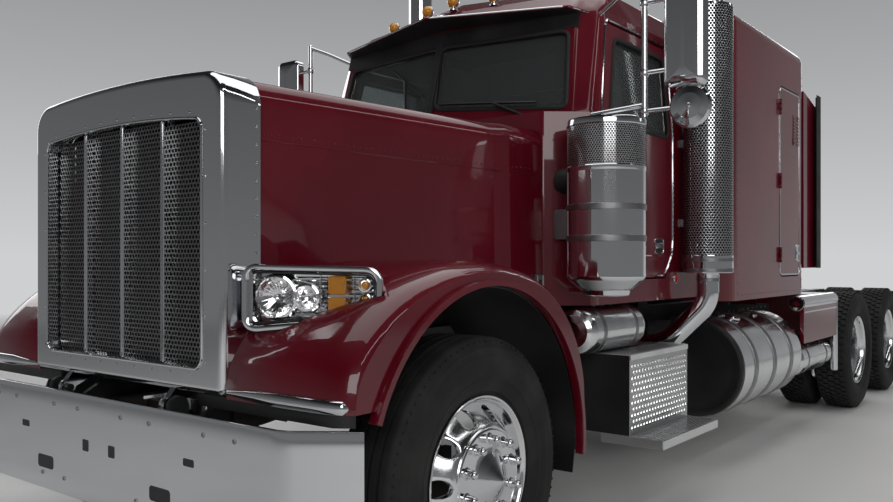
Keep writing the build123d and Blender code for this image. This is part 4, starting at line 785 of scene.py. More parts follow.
print("bumper", round(bumper_high.y * 2000), "mm wide with", 2 * 6, "bolts")

# %% [markdown]
# ## Headlamps
# Each lamp is a long shell that tapers outwards, with a rolled bezel, a seal and a clear cover. Building it
# in the shell's own directions keeps everything square to the cover.

# %% Lamp shells and covers
pod_turn = radians(29)
pod_face = at(-591, 872, 1181)
pod_out = Vector((-sin(pod_turn), cos(pod_turn), 0))
pod_facing = Vector((cos(pod_turn), sin(pod_turn), 0))


def in_pod(across, up, forward=0.0):
    """A point in the left lamp: millimetres outwards along it, up, and forward from its face."""
    return pod_face + pod_out * across / 1000 + Vector((0, 0, up / 1000)) + pod_facing * forward / 1000


def pod_rings(*section):
    """The lamp's outline at (inset, forward) pairs: both its top and its underside close in outwards."""
    corners = [(-243.5, -118), (243.5, -74), (243.5, 106), (-243.5, 118)]
    return [[in_pod(across, up, forward) for across, up in loop_of(corners, inset, 62, 8)]
            for inset, forward in section]


shell = Shape().skin(pod_rings(
    (60, -148), (30, -110), (10, -60), (1, -20), (0, -8), (3, -1), (10, 2), (18, 0), (24, -6),
    (27, -14), (27, -60), (60, -96)), caps=False)
shell.skin([
    [at(-668 - 34 * share, 636 + 62 * share + a, 1187 + b) for a, b in
     ((-2, -84), (8, -84), (16, -76), (16, 76), (8, 84), (-2, 84))]
    for share in (0, 0.5, 1.0)
])
shell.mirrored().make("lamp_shells", chrome, "hood", ["headlamp_pods"])
seal = Shape().skin(pod_rings((26.5, -6), (31, -4), (33, -9), (28, -12)), caps=False, loop=True)
seal.mirrored().make("lamp_seals", rubber, "hood")
dish = [(31 + 32 * t, -9 + 7 * sin(pi / 2 * t)) for t in (0.35, 0.7, 1.0)]
cover = Shape().skin(pod_rings((31, -9), *dish))
cover.mirrored().make("lamp_covers", clear, "hood", ["headlamp_lenses"], sharp=60)
print("lamps", round((in_pod(243.5, 0) - in_pod(-243.5, 0)).length * 1000), "mm long")

# %% [markdown]
# Behind the clear cover stand a round reflector with radial facets, a small projector with a glass ball in
# it, an amber block and two small round lamps, all on a ribbed silver back.

# %% Reflectors, bulbs and turn lamps
reflector, projector, small_lamps = in_pod(-128, 4, -24), in_pod(-22, 4, -24), ((178, 44), (178, -4))
facets = 22
bowls, cups = Shape(), Shape()
for middle, radius, depth in ((reflector, 66, 36), (projector, 38, 26)):
    bowls.turned([(radius + 12, -6), (radius + 9, 4), (radius + 2, 7), (radius - 1, 0)],
                 middle, pod_facing, 40)
    cups.turned([(radius * cos(pi / 2 * t), -depth * sin(pi / 2 * t) ** 2)
                 for t in (0, 0.2, 0.4, 0.6, 0.8, 0.95)],
                middle, pod_facing, 20)
first, second = square_to(pod_facing)
for number in range(facets):
    turn = 2 * pi * number / facets
    toward = first * cos(turn) + second * sin(turn)
    beside = (first * -sin(turn) + second * cos(turn)) * 0.003
    inner = reflector + toward * 0.02 - pod_facing * 0.026
    bowls.add([reflector + toward * 0.062 - pod_facing * 0.006, inner + beside, inner - beside], [(0, 1, 2)])
for across, up in small_lamps:
    bowls.turned([(23, -4), (22, 2), (18, 3), (16, -2), (12, -10), (0, -14)],
                 in_pod(across, up, -22), pod_facing, 24)
for left in (28, 142):
    bowls.plate([in_pod(across, up, -30) for across, up in oblong(left, -62, left + 3, 84)], pod_facing * 14)
bowls.mirrored().make("lamp_reflectors", lamp_silver, "hood", sharp=25)
cups.mirrored().make("lamp_bowls", lamp_silver, "hood", sharp=1)
back = Shape().skin(pod_rings((28, -30), (30, -58), (84, -62)), caps=False)
back.add(pod_rings((84, -62))[0], [range(36)])
for row in range(9):
    up = -60 + row * 15
    for across in range(-212, 168, 10):
        if hypot(across + 133, up - 4) > 80 and hypot(across + 27, up - 4) > 50:
            back.tube([in_pod(across, up, -32), in_pod(across + 10, up, -32)], 3, 5)
back.mirrored().make("lamp_backs", lamp_silver, "hood")
balls = Shape().turned([(33, -18), (31, -8), (24, 2), (12, 8), (0, 10)], in_pod(-22, 4, -28), pod_facing, 32)
balls.turned([(10, -44), (10, -16), (7, -10), (0, -8)], reflector, pod_facing, 16)
balls.mirrored().make("lamp_bulbs", clear, "hood")
blocks = Shape()
for up in (12, -58):
    blocks.skin([[in_pod(84 + a, up + 32 + b, forward) for a, b in rounded(30, 30, 8, 3)]
                 for forward in (-34, -20)])
for across, up in small_lamps:
    blocks.turned([(12, -3), (10, 2), (0, 5)], in_pod(across, up, -24), pod_facing, 16)
blocks.mirrored().make("turn_lamps", amber, "hood", bevel=2)
print(facets, "facets in each reflector")

# %% [markdown]
# A bright half-round strip runs along each fender's front lower edge, and a thin black sheet lines the
# inside of each arch over the tyre. A short black apron behind the bumper's top is painted shade: it fills
# the shaded gap between bumper and fender. The hood has rivets along its shoulder, a hinge seam and a rubber
# latch that holds it down to the cowl. These are small, but they are what says that the hood is bonded and
# riveted sheet and not one casting.

# %% Fender strips, arch liners, painted shade aprons, hood rivets and latches
strip_path = bent([at(-750, 640, 868), at(-750, 930, 868), at(-744, 1070, 867), at(-728, 1140, 866),
                   at(-712, 1168, 865)], 60)
strip_section = ((-6, -22), (3, -24), (12, -17), (16, 0), (12, 17), (3, 24), (-6, 22))
strip_rings = []
last = len(strip_path) - 1
for number, point in enumerate(strip_path):
    ahead = strip_path[min(number + 1, last)] - strip_path[max(number - 1, 0)]
    outward = Vector((ahead.y, -ahead.x, 0)).normalized()
    ends = 0.3 if number in (0, last) else 1.0
    strip_rings.append([point + outward * (a * ends) / 1000 + Vector((0, 0, b * ends / 1000))
                        for a, b in strip_section])
Shape().skin(strip_rings).mirrored().make("fender_strips", chrome, "hood", sharp=60)
liner_in, liner_out, liner_r, arch_up = 640, 1164, 647, 567
liner = Shape().skin([
    [at(-radius * sin(radians(turn)), out, arch_up + radius * cos(radians(turn))) for out, radius in
     ((liner_in, liner_r), (liner_out, liner_r), (liner_out, liner_r - 4), (liner_in, liner_r - 4))]
    for turn in range(-104, 72, 4)
])
# Painted shade: a black apron across the gap behind the bumper's top, where that gap lies in shadow.
liner.skin([[at(front + a, out, up) for a, up in ((0, 850), (0, 807), (4, 807), (4, 850))]
            for out, front in ((470, -742), (1125, -738), (1182, -700))])
liner.mirrored().make("arch_liners_and_shade_aprons", black, "hood", sharp=60)
hood_low, hood_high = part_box("hood_shell")
hood_front = (front_axle_x - hood_high.x) * 1000
hood_rear = (front_axle_x - hood_low.x) * 1000


def hood_side(station, up):
    """The hood's side surface: a point at a station and height, found on the solid's own faces."""
    hit, spot, facing, _ = nodes["hood_shell"].ray_cast(at(station, 2000, up), Vector((0, -1, 0)))
    return (spot, facing) if hit else (at(station, 620, up), Vector(outwards))


hood_rivets = Shape()
shoulder_rivets, rear_rivets = 50, 13
for number in range(shoulder_rivets):
    station = hood_front + 30 + (hood_rear - hood_front - 60) * number / (shoulder_rivets - 1)
    hood_rivets.dome(*hood_side(station, 1750), 5, 2.5)
seam = [hood_side(hood_front + 20 + (hood_rear - hood_front - 50) * n / 24, 1728)[0] for n in range(25)]
hood_rivets.tube(seam, 2.2, 6)
for number in range(rear_rivets):
    hood_rivets.dome(*hood_side(hood_rear - 22, 1160 + number * 52), 5, 2.5)
hood_rivets.mirrored().make("hood_rivets", paint, "hood")
latch = Shape()
latch_out = hood_side(hood_rear - 40, 1200)[0].y * 1000 + 2
for base, top in ((1134, 1160), (1214, 1240)):
    latch.block((hood_rear - 76, latch_out - 3, base), (hood_rear - 12, latch_out + 10, top))
for back_by in (70, 20):
    latch.tube([at(hood_rear - back_by, latch_out + 14, up) for up in (1150, 1235)], 7, 10)
latch.mirrored().make("hood_latches", steel, "hood", bevel=2)
print("hood rivets", shoulder_rivets + rear_rivets, "a side")

# %% [markdown]
# ## The cab
# Window rubbers, door edges and lamp bezels are all the same job: one section carried round an outline. A
# window rubber made this way follows its glass exactly, on a flat pane and on a leaning door alike.

# %% Window rubbers
belt_up, eave_up, door_out, eave_out = 2045, 2600, 950, 905
pane_foot = at(1085, 0, belt_up)
pane_along = (at(1190, 840, belt_up) - pane_foot).normalized()
pane_facing = pane_along.cross(at(1215, 0, eave_up) - pane_foot).normalized()
pane_facing *= 1 if pane_facing.x > 0 else -1
pane_rise = pane_facing.cross(pane_along)
pane_rise *= 1 if pane_rise.z > 0 else -1
pane_corners = [(22, 100), (812, 35), (785, 455), (22, 462)]
door_window = [(2115, 2475), (1495, 2475), (1370, 2010), (2115, 2010)]
rubber_section = [(-14, -1), (-13, 4), (-7, 7), (2, 7), (7, 3), (8, -8), (3, -20), (-3, -20)]


def on_pane(across, up, out=0.0):
    """A point on the left half of the windscreen."""
    return pane_foot + pane_along * across / 1000 + pane_rise * up / 1000 + pane_facing * out / 1000


def on_side(station, up, out=0.0):
    """A point on the cab's left side, which leans in above the belt."""
    lean = max(0.0, (up - belt_up) / (eave_up - belt_up)) * (door_out - eave_out)
    return at(station, door_out - lean + out, up)


def on_door(station, up, out=0.0):
    """A point on the door's upright lower half."""
    return at(station, door_out + out, up)


gaskets = Shape()
carried(gaskets, pane_corners, rubber_section, on_pane, 45)
gaskets.mirrored()
gaskets.skin([[at(1085 - 10 + share * 130 * 0.83 + back, out, 2118 + share * 400) for out, back in
               ((-24, 14), (-22, 2), (-8, -2), (8, -2), (22, 2), (24, 14))] for share in (0, 1)])
gaskets.make("windscreen_rubbers", rubber, "root")
door_rubber = Shape()
carried(door_rubber, door_window, [(-inset, out) for inset, out in rubber_section], on_side, 50)
make_pairs("cab_door", (door_rubber, "door_rubber", rubber))
print("rubbers follow", len(pane_corners), "corners a pane")

# %% [markdown]
# The doors carry a black handle cup with a bright paddle and a bright strip down the rear edge. A small red
# side lamp stands behind each door on the post. What is on the door rides on the door's body, so it swings
# with the door.

# %% Door furniture and side lamps
trim_path = [on_side(2170, 2500, 1), on_side(2170, 2045, 1), on_door(2170, 1362, 1), on_door(2058, 1222, 1),
             on_door(1900, 1222, 1)]
furniture = Shape().tube(bent(trim_path, 70), 6, 8)
furniture.skin(section_rings(oblong(1935, 1374, 2030, 1404), ((0, -1), (0, 4), (3, 7), (10, 8)), on_door, 10))
carried(furniture, oblong(1922, 1345, 2044, 1433), [(0, -1), (1, 4), (5, 4), (7, -1)], on_door, 22)
cup_section = ((0, -1), (2, 1.5), (14, 0.5), (30, 0.3))
cups = Shape().skin(section_rings(oblong(1924, 1347, 2042, 1431), cup_section, on_door, 20))
cups.turned([(9, 0), (9, 3), (6, 4), (0, 4)], on_door(1990, 1318), outwards, 16)
make_pairs("cab_door", (furniture, "door_trim", chrome), (cups, "door_cup", black))
side_lamp_spot = on_door(2214, 1205)
side_lamps = Shape().turned([(24, -1), (24, 6), (20, 12), (10, 15), (0, 15.5)], side_lamp_spot, outwards, 28)
side_lamps.mirrored().make("side_lamps", red, "root")
lamp_rings = Shape().turned([(31, -1), (31, 4), (27, 6), (24, 3), (24, -1)], side_lamp_spot,
                            outwards, 28, loop=True)
lamp_rings.tube(bent([on_side(1276, 1992, 4), on_side(1409, 2553, 4), on_side(2600, 2556, 4)], 40), 6.5, 8)
lamp_rings.mirrored().make("side_lamp_rings", chrome, "root")
print("door windows start", round(belt_up - door_window[-1][1]), "mm under the belt")

# %% [markdown]
# Two wipers lie on the glass: an arm that springs from the cowl and a blade with a rubber. The left one
# rests along the lower edge, the right one stands half way up, as the truck was left.

# %% Wipers
wipers = Shape()
for pivot, elbow, tip, tail, on_right in (((640, -18), (400, 88), (650, 72), (60, 118), False),
                                          ((180, 20), (235, 290), (84, 192), (385, 392), True)):
    arm = Shape().turned([(20, -14), (20, 8), (14, 18), (0, 20)], on_pane(*pivot), pane_facing, 16)
    arm.tube([on_pane(*pivot, 10), on_pane(*elbow, 28)], 8, 8)
    arm.tube([on_pane(*tip, 14), on_pane((tip[0] + tail[0]) / 2, (tip[1] + tail[1]) / 2, 24),
              on_pane(*tail, 14)], 5, 6)
    arm.tube([on_pane(*tip, 9), on_pane(*tail, 9)], 5, 6)
    wipers.join(arm.flipped() if on_right else arm)
wipers.make("wipers", black, "root")
print("wiper blades", round(hypot(650 - 60, 118 - 72)), "and", round(hypot(385 - 84, 392 - 192)), "mm long")

# %% [markdown]
# Five lamps stand on the front of the roof: a bright cup with an amber ball in it. Turned profiles give
# both. The visor's lip gets a rolled edge, because a bare sheet edge would be sharp and would flutter.
# Under the visor, a black plate and a black band across the top of the windscreen are painted shadow, the
# shade that the visor casts.

# %% Roof lamps, visor lip and painted shadow under the visor
bulbs, cups = Shape(), Shape()
lamp_spots, lamp_up = [(1310, 0), (1373, 240), (1373, -240), (1513, 630), (1513, -630)], 2787
for station, out in lamp_spots:
    spot = at(station, out, lamp_up)
    bulbs.turned([(0, 36.5), (12, 34.5), (24, 27), (32, 16), (35, 4)], spot, (1, 0, 0.25), 28)
    cups.turned([(35, 4), (37, 3), (37, -4), (35.5, -9), (30, -20), (20, -30), (10, -35), (0, -36.5)], spot,
                (1, 0, 0.25), 28)
    cups.turned([(14, -10), (15, -36), (25, -44), (25, -52 if out else -50)], spot, upwards, 20)
bulbs.make("roof_lamp_lenses", amber, "root", ["roof_lamps"])
cups.make("roof_lamp_cups", chrome, "root")
lip_path = [at(1400, -868, 2576), at(1247, -789, 2602), at(1053, 0, 2634), at(1247, 789, 2602),
            at(1400, 868, 2576)]
Shape().tube(bent(lip_path, 60), 6, 8).make("visor_lip", chrome, "root")
# Painted shadow: a thin black plate under the visor and a black band over the top of each pane stand for the
# visor's shade.
under = [(1060, 0), (1252, 780), (1400, 862), (1474, 862), (1474, -862), (1400, -862), (1252, -780)]
shade = Shape().plate([at(station, out, 2626.5 - 0.167 * (station - 1050))
                       for station, out in under], (0, 0, -1.5))
shade.skin([[on_pane(across, up, out) for up, out in ((470, -2), (470, 2.5), (558, 2.5), (558, -2))]
            for across in (-2, 842)])
shade.mirrored().make("visor_painted_shadow", black, "root")
print("roof lamps", len(lamp_spots))

# %% [markdown]
# Each mirror has a bright tall head on a tube, with two arms back to the cab, and a round wide-angle mirror
# under it. The heads' glasses face backwards, so from the front one sees the polished backs. Tubes are
# drawn along paths, and the heads are stacked rings, which rounds their edges as a pressed shell's are.

# %% Mirrors
post_out, head_out, head_up, spot_out, spot_up = 1178, 1383, 2385, 1410, 2030
head = oblong(head_out - 100, head_up - 260, head_out + 100, head_up + 260)


def facing_back(corners, depths, radius):
    """Rings of an outline seen from behind, at (inset, station) pairs."""
    return section_rings(corners, depths, lambda out, up, station: at(station, out, up), radius)


heads = Shape().skin(facing_back(head, ((88, 1262), (60, 1264), (34, 1268), (14, 1275), (2, 1286),
                                        (0, 1298), (0, 1334), (3, 1338), (9, 1338), (10, 1330)), 42))
heads.turned([(0, 30), (8, 29), (12, 22), (60, 16), (92, 8), (102, -4), (102, -12), (97, -14)],
             at(1290, spot_out, spot_up), forwards, 40)
panes = Shape().skin(facing_back(head, [(10, 1331)], 42), caps=False)
pane, = facing_back(head, [(9, 1333)], 42)
panes.add(pane, [range(len(pane))])
panes.turned([(97, 0), (70, 7), (35, 11), (0, 12)], at(1305, spot_out, spot_up), backwards, 36)
tubes = Shape().tube([at(1300, post_out, 2002), at(1300, post_out, 2718)], 15.5, 16)
tubes.tube(bent([at(1300, 1178, 2704), at(1345, 1050, 2650), at(1391, 893, 2572)], 40), 13, 12)
tubes.tube(bent([at(1300, 1178, 2060), at(1255, 1040, 2042), at(1228, 930, 2030)], 40), 13, 12)
for up, short in ((head_up + 170, 70), (head_up - 170, 70), (spot_up, 30)):
    tubes.tube([at(1300, post_out, up), at(1300, head_out - short, up)], 11, 12)
    tubes.turned([(20, -16), (22, -10), (22, 10), (20, 16)], at(1300, post_out, up), upwards, 18)
tubes.dome(at(1300, post_out, 2717), upwards, 15, 9, 16)
heads.mirrored().make("mirror_heads", chrome, "root", ["mirrors"], sharp=30)
panes.mirrored().make("mirror_panes", mirror, "root")
tubes.mirrored().make("mirror_tubes", chrome, "root")
print("mirrors stand", head_out + 100, "mm out")

# %% [markdown]
# ## Pipes and drums
# The air cleaners and exhaust shields are rolled sheet with thousands of small punched holes. Holes this
# small and this many are a finish and not a shape: the material works out, from each point's angle round
# the drum and its height, how near the nearest hole is, and darkens and sinks it. Two square grids of dots,
# one shifted by half a step, make the staggered pattern of real punched sheet.


# %% Punched sheet finish
def punched(name, station, out, radius, pitch):
    """Chrome sheet with staggered holes round an upright drum at (station, +-out)."""
    bright = (0.82, 0.83, 0.85)
    material = finish(name, bright, 1.0, 0.12)
    where = node(material, "TexCoord")
    parts = node(material, "SeparateXYZ", {"Vector": where.outputs["Object"]})

    def sums(operation, *values):
        step = node(material, "Math", operation=operation)
        for socket, value in zip(step.inputs, values):
            if isinstance(value, (int, float)):
                socket.default_value = value
            else:
                material.node_tree.links.new(value, socket)
        return step.outputs[0]

    ahead = sums("SUBTRACT", parts.outputs["X"], front_axle_x - station / 1000)
    beside = sums("SUBTRACT", sums("ABSOLUTE", parts.outputs["Y"]), out / 1000)
    count = round(2 * pi * radius / pitch)
    across = sums("MULTIPLY", sums("ARCTAN2", beside, ahead), count / (2 * pi))
    up = sums("MULTIPLY", parts.outputs["Z"], 1000 / pitch / 1.5)
    grids = []
    for shift in (0.0, 0.5):
        a = sums("SUBTRACT", sums("FRACT", sums("ADD", across, shift)), 0.5)
        b = sums("MULTIPLY", sums("SUBTRACT", sums("FRACT", sums("ADD", up, shift)), 0.5), 1.5)
        grids.append(sums("SQRT", sums("ADD", sums("MULTIPLY", a, a), sums("MULTIPLY", b, b))))
    hole = node(material, "MapRange", {"Value": sums("MINIMUM", *grids)}, From_Min=0.34,
                From_Max=0.42).outputs[0]
    ramp = node(material, "ValToRGB", {"Fac": hole})
    for stop, colour in zip(ramp.color_ramp.elements, ((0.01, 0.01, 0.01), bright)):
        stop.color = (*colour, 1)
    to_shader(material, "Base Color", ramp.outputs["Color"])
    rough = node(material, "MapRange", {"Value": hole}, To_Min=0.8, To_Max=0.12)
    to_shader(material, "Roughness", rough.outputs[0])
    bump = node(material, "Bump", {"Height": hole}, Strength=0.6, Distance=0.001)
    to_shader(material, "Normal", bump.outputs["Normal"])
    slot_of[name] = "bright"
    return material


cleaner_station, cleaner_out, cleaner_r = 1090, 1082, 188
stack_station, stack_out, shield_r = 2335, 1100, 142
cleaner_sheet = punched("cleaner_screen", cleaner_station, cleaner_out, cleaner_r, 13)
shield_sheet = punched("shield_screen", stack_station, stack_out, shield_r, 19)
print("punched sheet in two pitches, 13 and 19 mm")

# %% [markdown]
# The air cleaner is a turned drum: a domed lid, a polished band, the punched intake band, a long polished
# barrel with two strap bands and a necked bottom. An elbow and a strap bracket join it to the cowl.

# %% Air cleaners
middle = at(cleaner_station, cleaner_out, 0)
drum = Shape().turned([(0, 1141), (96, 1141), (108, 1146), (114, 1168), (128, 1176), (176, 1216), (184, 1232),
                       (184.5, 1300), (184.5, 1500), (184.5, 1722), (187, 1728), (187, 1742), (184, 1746)],
                      middle, upwards, 64)
drum.turned([(184, 1932), (187.5, 1936), (187.5, 1958), (184, 1966), (172, 1969), (150, 1970),
             (140, 1966), (120, 1968), (80, 1976), (40, 1981), (0, 1981.5)], middle, upwards, 64)
drum.skin([[middle + Vector((cos(t) * radius / 1000, sin(t) * radius / 1000, up / 1000)) for t, radius in
            ((-0.86, 184), (-0.85, 187), (-0.79, 187), (-0.78, 184))] for up in (1236, 1720)])
intake = Shape().turned([(183.5, up) for up in (1744, 1800, 1870, 1934)], middle, upwards, 64)
straps = Shape()
for low in (1395, 1540):
    band = [(184.5, low), (187.5, low + 2), (187.8, low + 15), (187.5, low + 28), (184.5, low + 30)]
    straps.turned(band, middle, upwards, 64)
    straps.block((1236, 962, low + 4), (1268, 1000, low + 26))
for low, high in (((1095, 800, 1412), (1186, 905, 1418)), ((1095, 800, 1552), (1186, 905, 1558)),
                  ((1095, 790, 1418), (1101, 910, 1552)), ((1180, 890, 1418), (1186, 906, 1552))):
    straps.block(low, high)
elbow = Shape().tube([at(1152, 800, 1700), at(1152, 940, 1700)], 66, 36)
elbow.turned([(66, 0), (70, 2), (70, 26), (66, 28)], at(1152, 868, 1700), outwards, 36)
drum.mirrored().make("air_cleaner_drums", chrome, "root", ["air_cleaners"], sharp=30)
intake.mirrored().make("air_cleaner_intakes", cleaner_sheet, "root")
straps.mirrored().make("air_cleaner_straps", steel, "root")
elbow.mirrored().make("air_cleaner_elbows", rubber, "root", sharp=30)
print("air cleaners", cleaner_r * 2, "mm across")

# %% [markdown]
# Each exhaust has a punched shield round its silencer, a plain band and clamps under it, a straight tall
# pipe cut off at a slant, and an elbow that runs in under the cab. The slanted cut is made by lowering the
# last ring on one side.

# %% Exhaust stacks
middle, stack_top = at(stack_station, stack_out, 0), 3854
shield = Shape().turned([(140, 1338), (141, 1342), (141, 2000), (141, 2780)], middle, upwards, 64)
pipe, clamps = Shape(), Shape()
for profile in ([(96, 2792), (128, 2796), (139, 2790), (141.5, 2776)],
                [(139, 1236), (141.8, 1240), (141.8, 1336), (139.5, 1342)],
                [(62, 1200), (64, 1226), (130, 1236), (139, 1238)]):
    pipe.turned(profile, middle, upwards, 64)


def slanted(radius, low, high):
    """A ring of the tall pipe, lower towards the front."""
    turns = [2 * pi * n / 48 for n in range(48)]
    return [middle + Vector((cos(t) * radius / 1000, sin(t) * radius / 1000,
                             ((low + high) / 2 - (high - low) / 2 * cos(t)) / 1000)) for t in turns]


pipe.skin([slanted(*ring) for ring in (
    (88, 2792, 2792), (88, 3400, 3400), (88, 3727, stack_top), (84, 3728, stack_top), (84, 3300, 3300),
    (84, 3000, 3000))], caps=False)
elbow_path = [at(2335, 1100, 1215), at(2335, 1100, 1058), at(2245, 870, 800), at(2245, 480, 800)]
pipe.tube(bent(elbow_path, 120, 10), 61.5, 36)
for up, radius in ((1196, 64.5), (1252, 143.5), (1312, 143.5)):
    clamps.turned([(radius - 3, up - 11), (radius, up - 9), (radius, up + 9), (radius - 3, up + 11)],
                  middle, upwards, 56)
for up in (1530, 2000):
    clamps.block((2285, 950, up - 22), (2385, 968, up + 22))
    clamps.block((2298, 966, up - 14), (2372, 984, up + 14))
grab_path = [at(2796, 1052, 1400), at(2646, 1108, 1400), at(2646, 1108, 2480), at(2796, 1052, 2480)]
pipe.tube(bent(grab_path, 40), 12, 12)
shield.mirrored().make("exhaust_shields", shield_sheet, "root", ["exhaust_stacks"])
pipe.mirrored().make("exhaust_pipes", chrome, "root", sharp=30)
clamps.mirrored().make("exhaust_clamps", steel, "root", sharp=30)
print("exhausts reach", stack_top, "mm")

# %% [markdown]
# ## The sleeper's side and the tanks
# The sleeper's doors have a bright frame, a vent and a latch, and rivets show where its skin is fixed to
# the ribs. Each door's trim rides on that door. Rubber blades close the gap behind the side extenders.

# %% Sleeper trim
side_out = 1080


def on_sleeper(station, up, out=0.0):
    """A point on the sleeper's left side."""
    return at(station, side_out + out, up)


trims, vents, rivets = Shape(), Shape(), Shape()
frame_section = [(10, -1), (11, 4), (16, 5), (22, 4), (23, -1)]
carried(trims, oblong(3765, 1190, 4290, 2580), frame_section, on_sleeper, 62)
trims.skin(section_rings(oblong(4178, 1300, 4262, 1430), ((0, -1), (1, 4), (8, 5), (14, 3), (30, 2)),
                         on_sleeper, 20))
trims.block((4190, side_out + 3, 1354), (4250, side_out + 9, 1376))
for up in range(2190, 2398, 26):
    vents.skin([[on_sleeper(station, up + rise, out) for out, rise in ((-1, 0), (7, 4), (8, 8), (-1, 20))]
                for station in (4112, 4232)])
carried(vents, oblong(4100, 2176, 4244, 2408), [(0, -1), (1, 5), (6, 5), (8, -1)], on_sleeper, 18)
make_pairs("bunk_door", (trims, "bunk_door_frame", chrome), (vents, "bunk_door_vent", paint))
side_rivets = [(station, 1100 + number * 60) for station in (2895, 4330) for number in range(28)]
side_rivets += [(2900 + number * 62, 1085) for number in range(24)]
for station, up in side_rivets:
    rivets.dome(on_sleeper(station, up), outwards, 5, 2.2, 6)
rivets.mirrored()
for number in range(26):
    for out in (-900, -300, 300, 900):
        rivets.dome(at(4450, out, 1150 + number * 62), backwards, 5, 2.2, 6)
rivets.make("sleeper_rivets", paint, "root")
blade = ((4665, 1104), (4665, 1108), (4781, 1108), (4781, 1068), (4776, 1068), (4776, 1104))
seals = Shape().skin([[at(station, out, up) for station, out in blade] for up in (1249, 2641)])
seals.mirrored().make("extender_rubbers", rubber, "root")
print("sleeper rivets", 2 * len(side_rivets) + 4 * 26)

# %% [markdown]
# The fuel tank is a rolled barrel with pressed ends, three straps with a bolt bar on each, a filler cap and
# a gauge cap. The barrel's ends are turned, so the swage round the rim catches the light in a ring. The air
# tanks are small drums with domed ends, strapped to brackets on the rail.

# %% Fuel tanks and air tanks
tank_front, tank_long, tank_out, tank_up, rail_face = 2700, 1280, 870, 622, 434


def drum_ends(end, long):
    """A lying drum's profile: one end's (radius, along) points, and the same end turned round."""
    return end + [(radius, long - along) for radius, along in reversed(end)]


end = [(0, 12), (240, 12), (262, 9), (280, 2), (294, 2), (304, 5), (309, 12), (310.5, 24)]
barrel = Shape().turned(drum_ends(end, tank_long), at(tank_front, tank_out, tank_up), backwards, 96)
bands, caps = Shape(), Shape()
for station in (2960, 3340, 3720):
    bands.turned([(311, -30), (316, -28), (316, 28), (311, 30)],
                 at(station, tank_out, tank_up), backwards, 96)
    bands.block((station - 28, 436, 600), (station + 28, 590, 900))
    caps.tube([at(station - 40, 700, 888), at(station + 40, 700, 888)], 9, 10)
for station, radius, tall in ((3120, 51, 24), (3560, 22, 12)):
    caps.turned([(radius, 0), (radius + 4, 6), (radius + 4, tall - 8), (radius - 2, tall),
                 (radius * 0.5, tall + 3), (0, tall + 3)], at(station, tank_out + 90, tank_up + 296),
                (0, 0.28, 1), 32)
barrel.mirrored().make("fuel_tank_barrels", alloy, "root", ["fuel_tanks"], sharp=25)
bands.mirrored().make("fuel_tank_bands", steel, "root", bevel=1)
caps.mirrored().make("fuel_tank_caps", chrome, "root", sharp=30)
tanks, straps = Shape(), Shape()
for start, long, out, up, radius in ((1140, 640, 865, 955, 118), (4080, 905, 1030, 550, 124)):
    end = [(0, 0), (radius * 0.4, 2), (radius * 0.7, 10), (radius * 0.88, 24),
           (radius * 0.97, 42), (radius, 60)]
    tanks.turned(drum_ends(end, long), at(start, out, up), backwards, 48)
    for station in (start + long * share for share in (0.22, 0.78)):
        straps.turned([(radius, -18), (radius + 1.5, -16), (radius + 1.5, 16), (radius, 18)],
                      at(station, out, up), backwards, 48)
        straps.block((station - 20, rail_face, up - 24), (station + 20, out - radius * 0.7, up + 24))
    for share in (0.35, 0.5, 0.65):
        straps.dome(at(start + long * share, out, up + radius - 2), upwards, 11, 14, 8)
for near, far in ((4230, 4276), (4775, 4825)):
    straps.block((near, rail_face, 520), (far, 460, 890))
tanks.mirrored().make("air_tank_barrels", alloy, "root", ["air_tanks"], sharp=30)
straps.mirrored().make("air_tank_straps", steel, "root")
print("fuel tanks", tank_long, "mm long, air tanks", 4)

# %% [markdown]
# ## Steps and quarter fenders
# The step boxes are pressed alloy with rows of raised buttons, so that a wet boot grips. Thin black plates
# sit on their ends. The quarter fender ahead of the drive tyres has a polished roll on top and a bright
# rolled edge behind.

# %% Step buttons, ends and bright rolls
buttons, ends, rolls = Shape(), Shape(), Shape()
button_rows, button_columns = 11, 20
for row in range(button_rows):
    for column in range(button_columns):
        station = 1405 + column * 35 + (17 if row % 2 else 0)
        if station < 2095:
            buttons.dome(at(station, 1064, 462 + row * 31), outwards, 11, 6, 8)
for row in range(9):
    for out, base, top in ((1076, 424.5, 428), (900, 832.5, 836)):
        buttons.block((1384, out + row * 18, base), (2106, out + 7 + row * 18, top))
for inner, base, outer, top in ((1063.5, 806, 1067, 833), (1237, 381, 1240, 423)):
    buttons.block((1379, inner, base), (2111, outer, top))
for near, far in ((1376, 1379.5), (2110.5, 2114)):
    ends.block((near, 522, 428), (far, 1061, 830))
rolls.turned([(20, -1), (52, -1), (58.8, 5), (58.8, 985), (50, 990)], at(4049, 1122, 986), backwards, 40)
rolls.turned([(0, -2), (26, -2), (28.8, 4), (28.8, 566)], at(5020, 1152, 398), upwards, 28)
rolls.block((4050, 1172, 916), (4996, 1178, 928))
buttons.mirrored().make("step_buttons", alloy, "root")
ends.mirrored().make("step_ends", black, "root")
rolls.mirrored().make("quarter_fender_rolls", chrome, "root", sharp=30)
tank_ends = Shape().turned([(0, 10), (238, 10), (262, 7), (280, 0), (296, 0), (307, 4),
                            (311.5, 12), (312, 40)],
                           at(tank_front, tank_out, tank_up), backwards, 72)
tank_ends.mirrored().make("fuel_tank_ends", black, "root", sharp=30)
print("step buttons in", button_rows, "rows of", button_columns, "a side")

# %% [markdown]
# ## The chassis from behind
# Behind the sleeper show the rails with their bolts, the deck's ribs and the tail lamps on their board.
# Bolt heads sit where the cross members meet the rails.

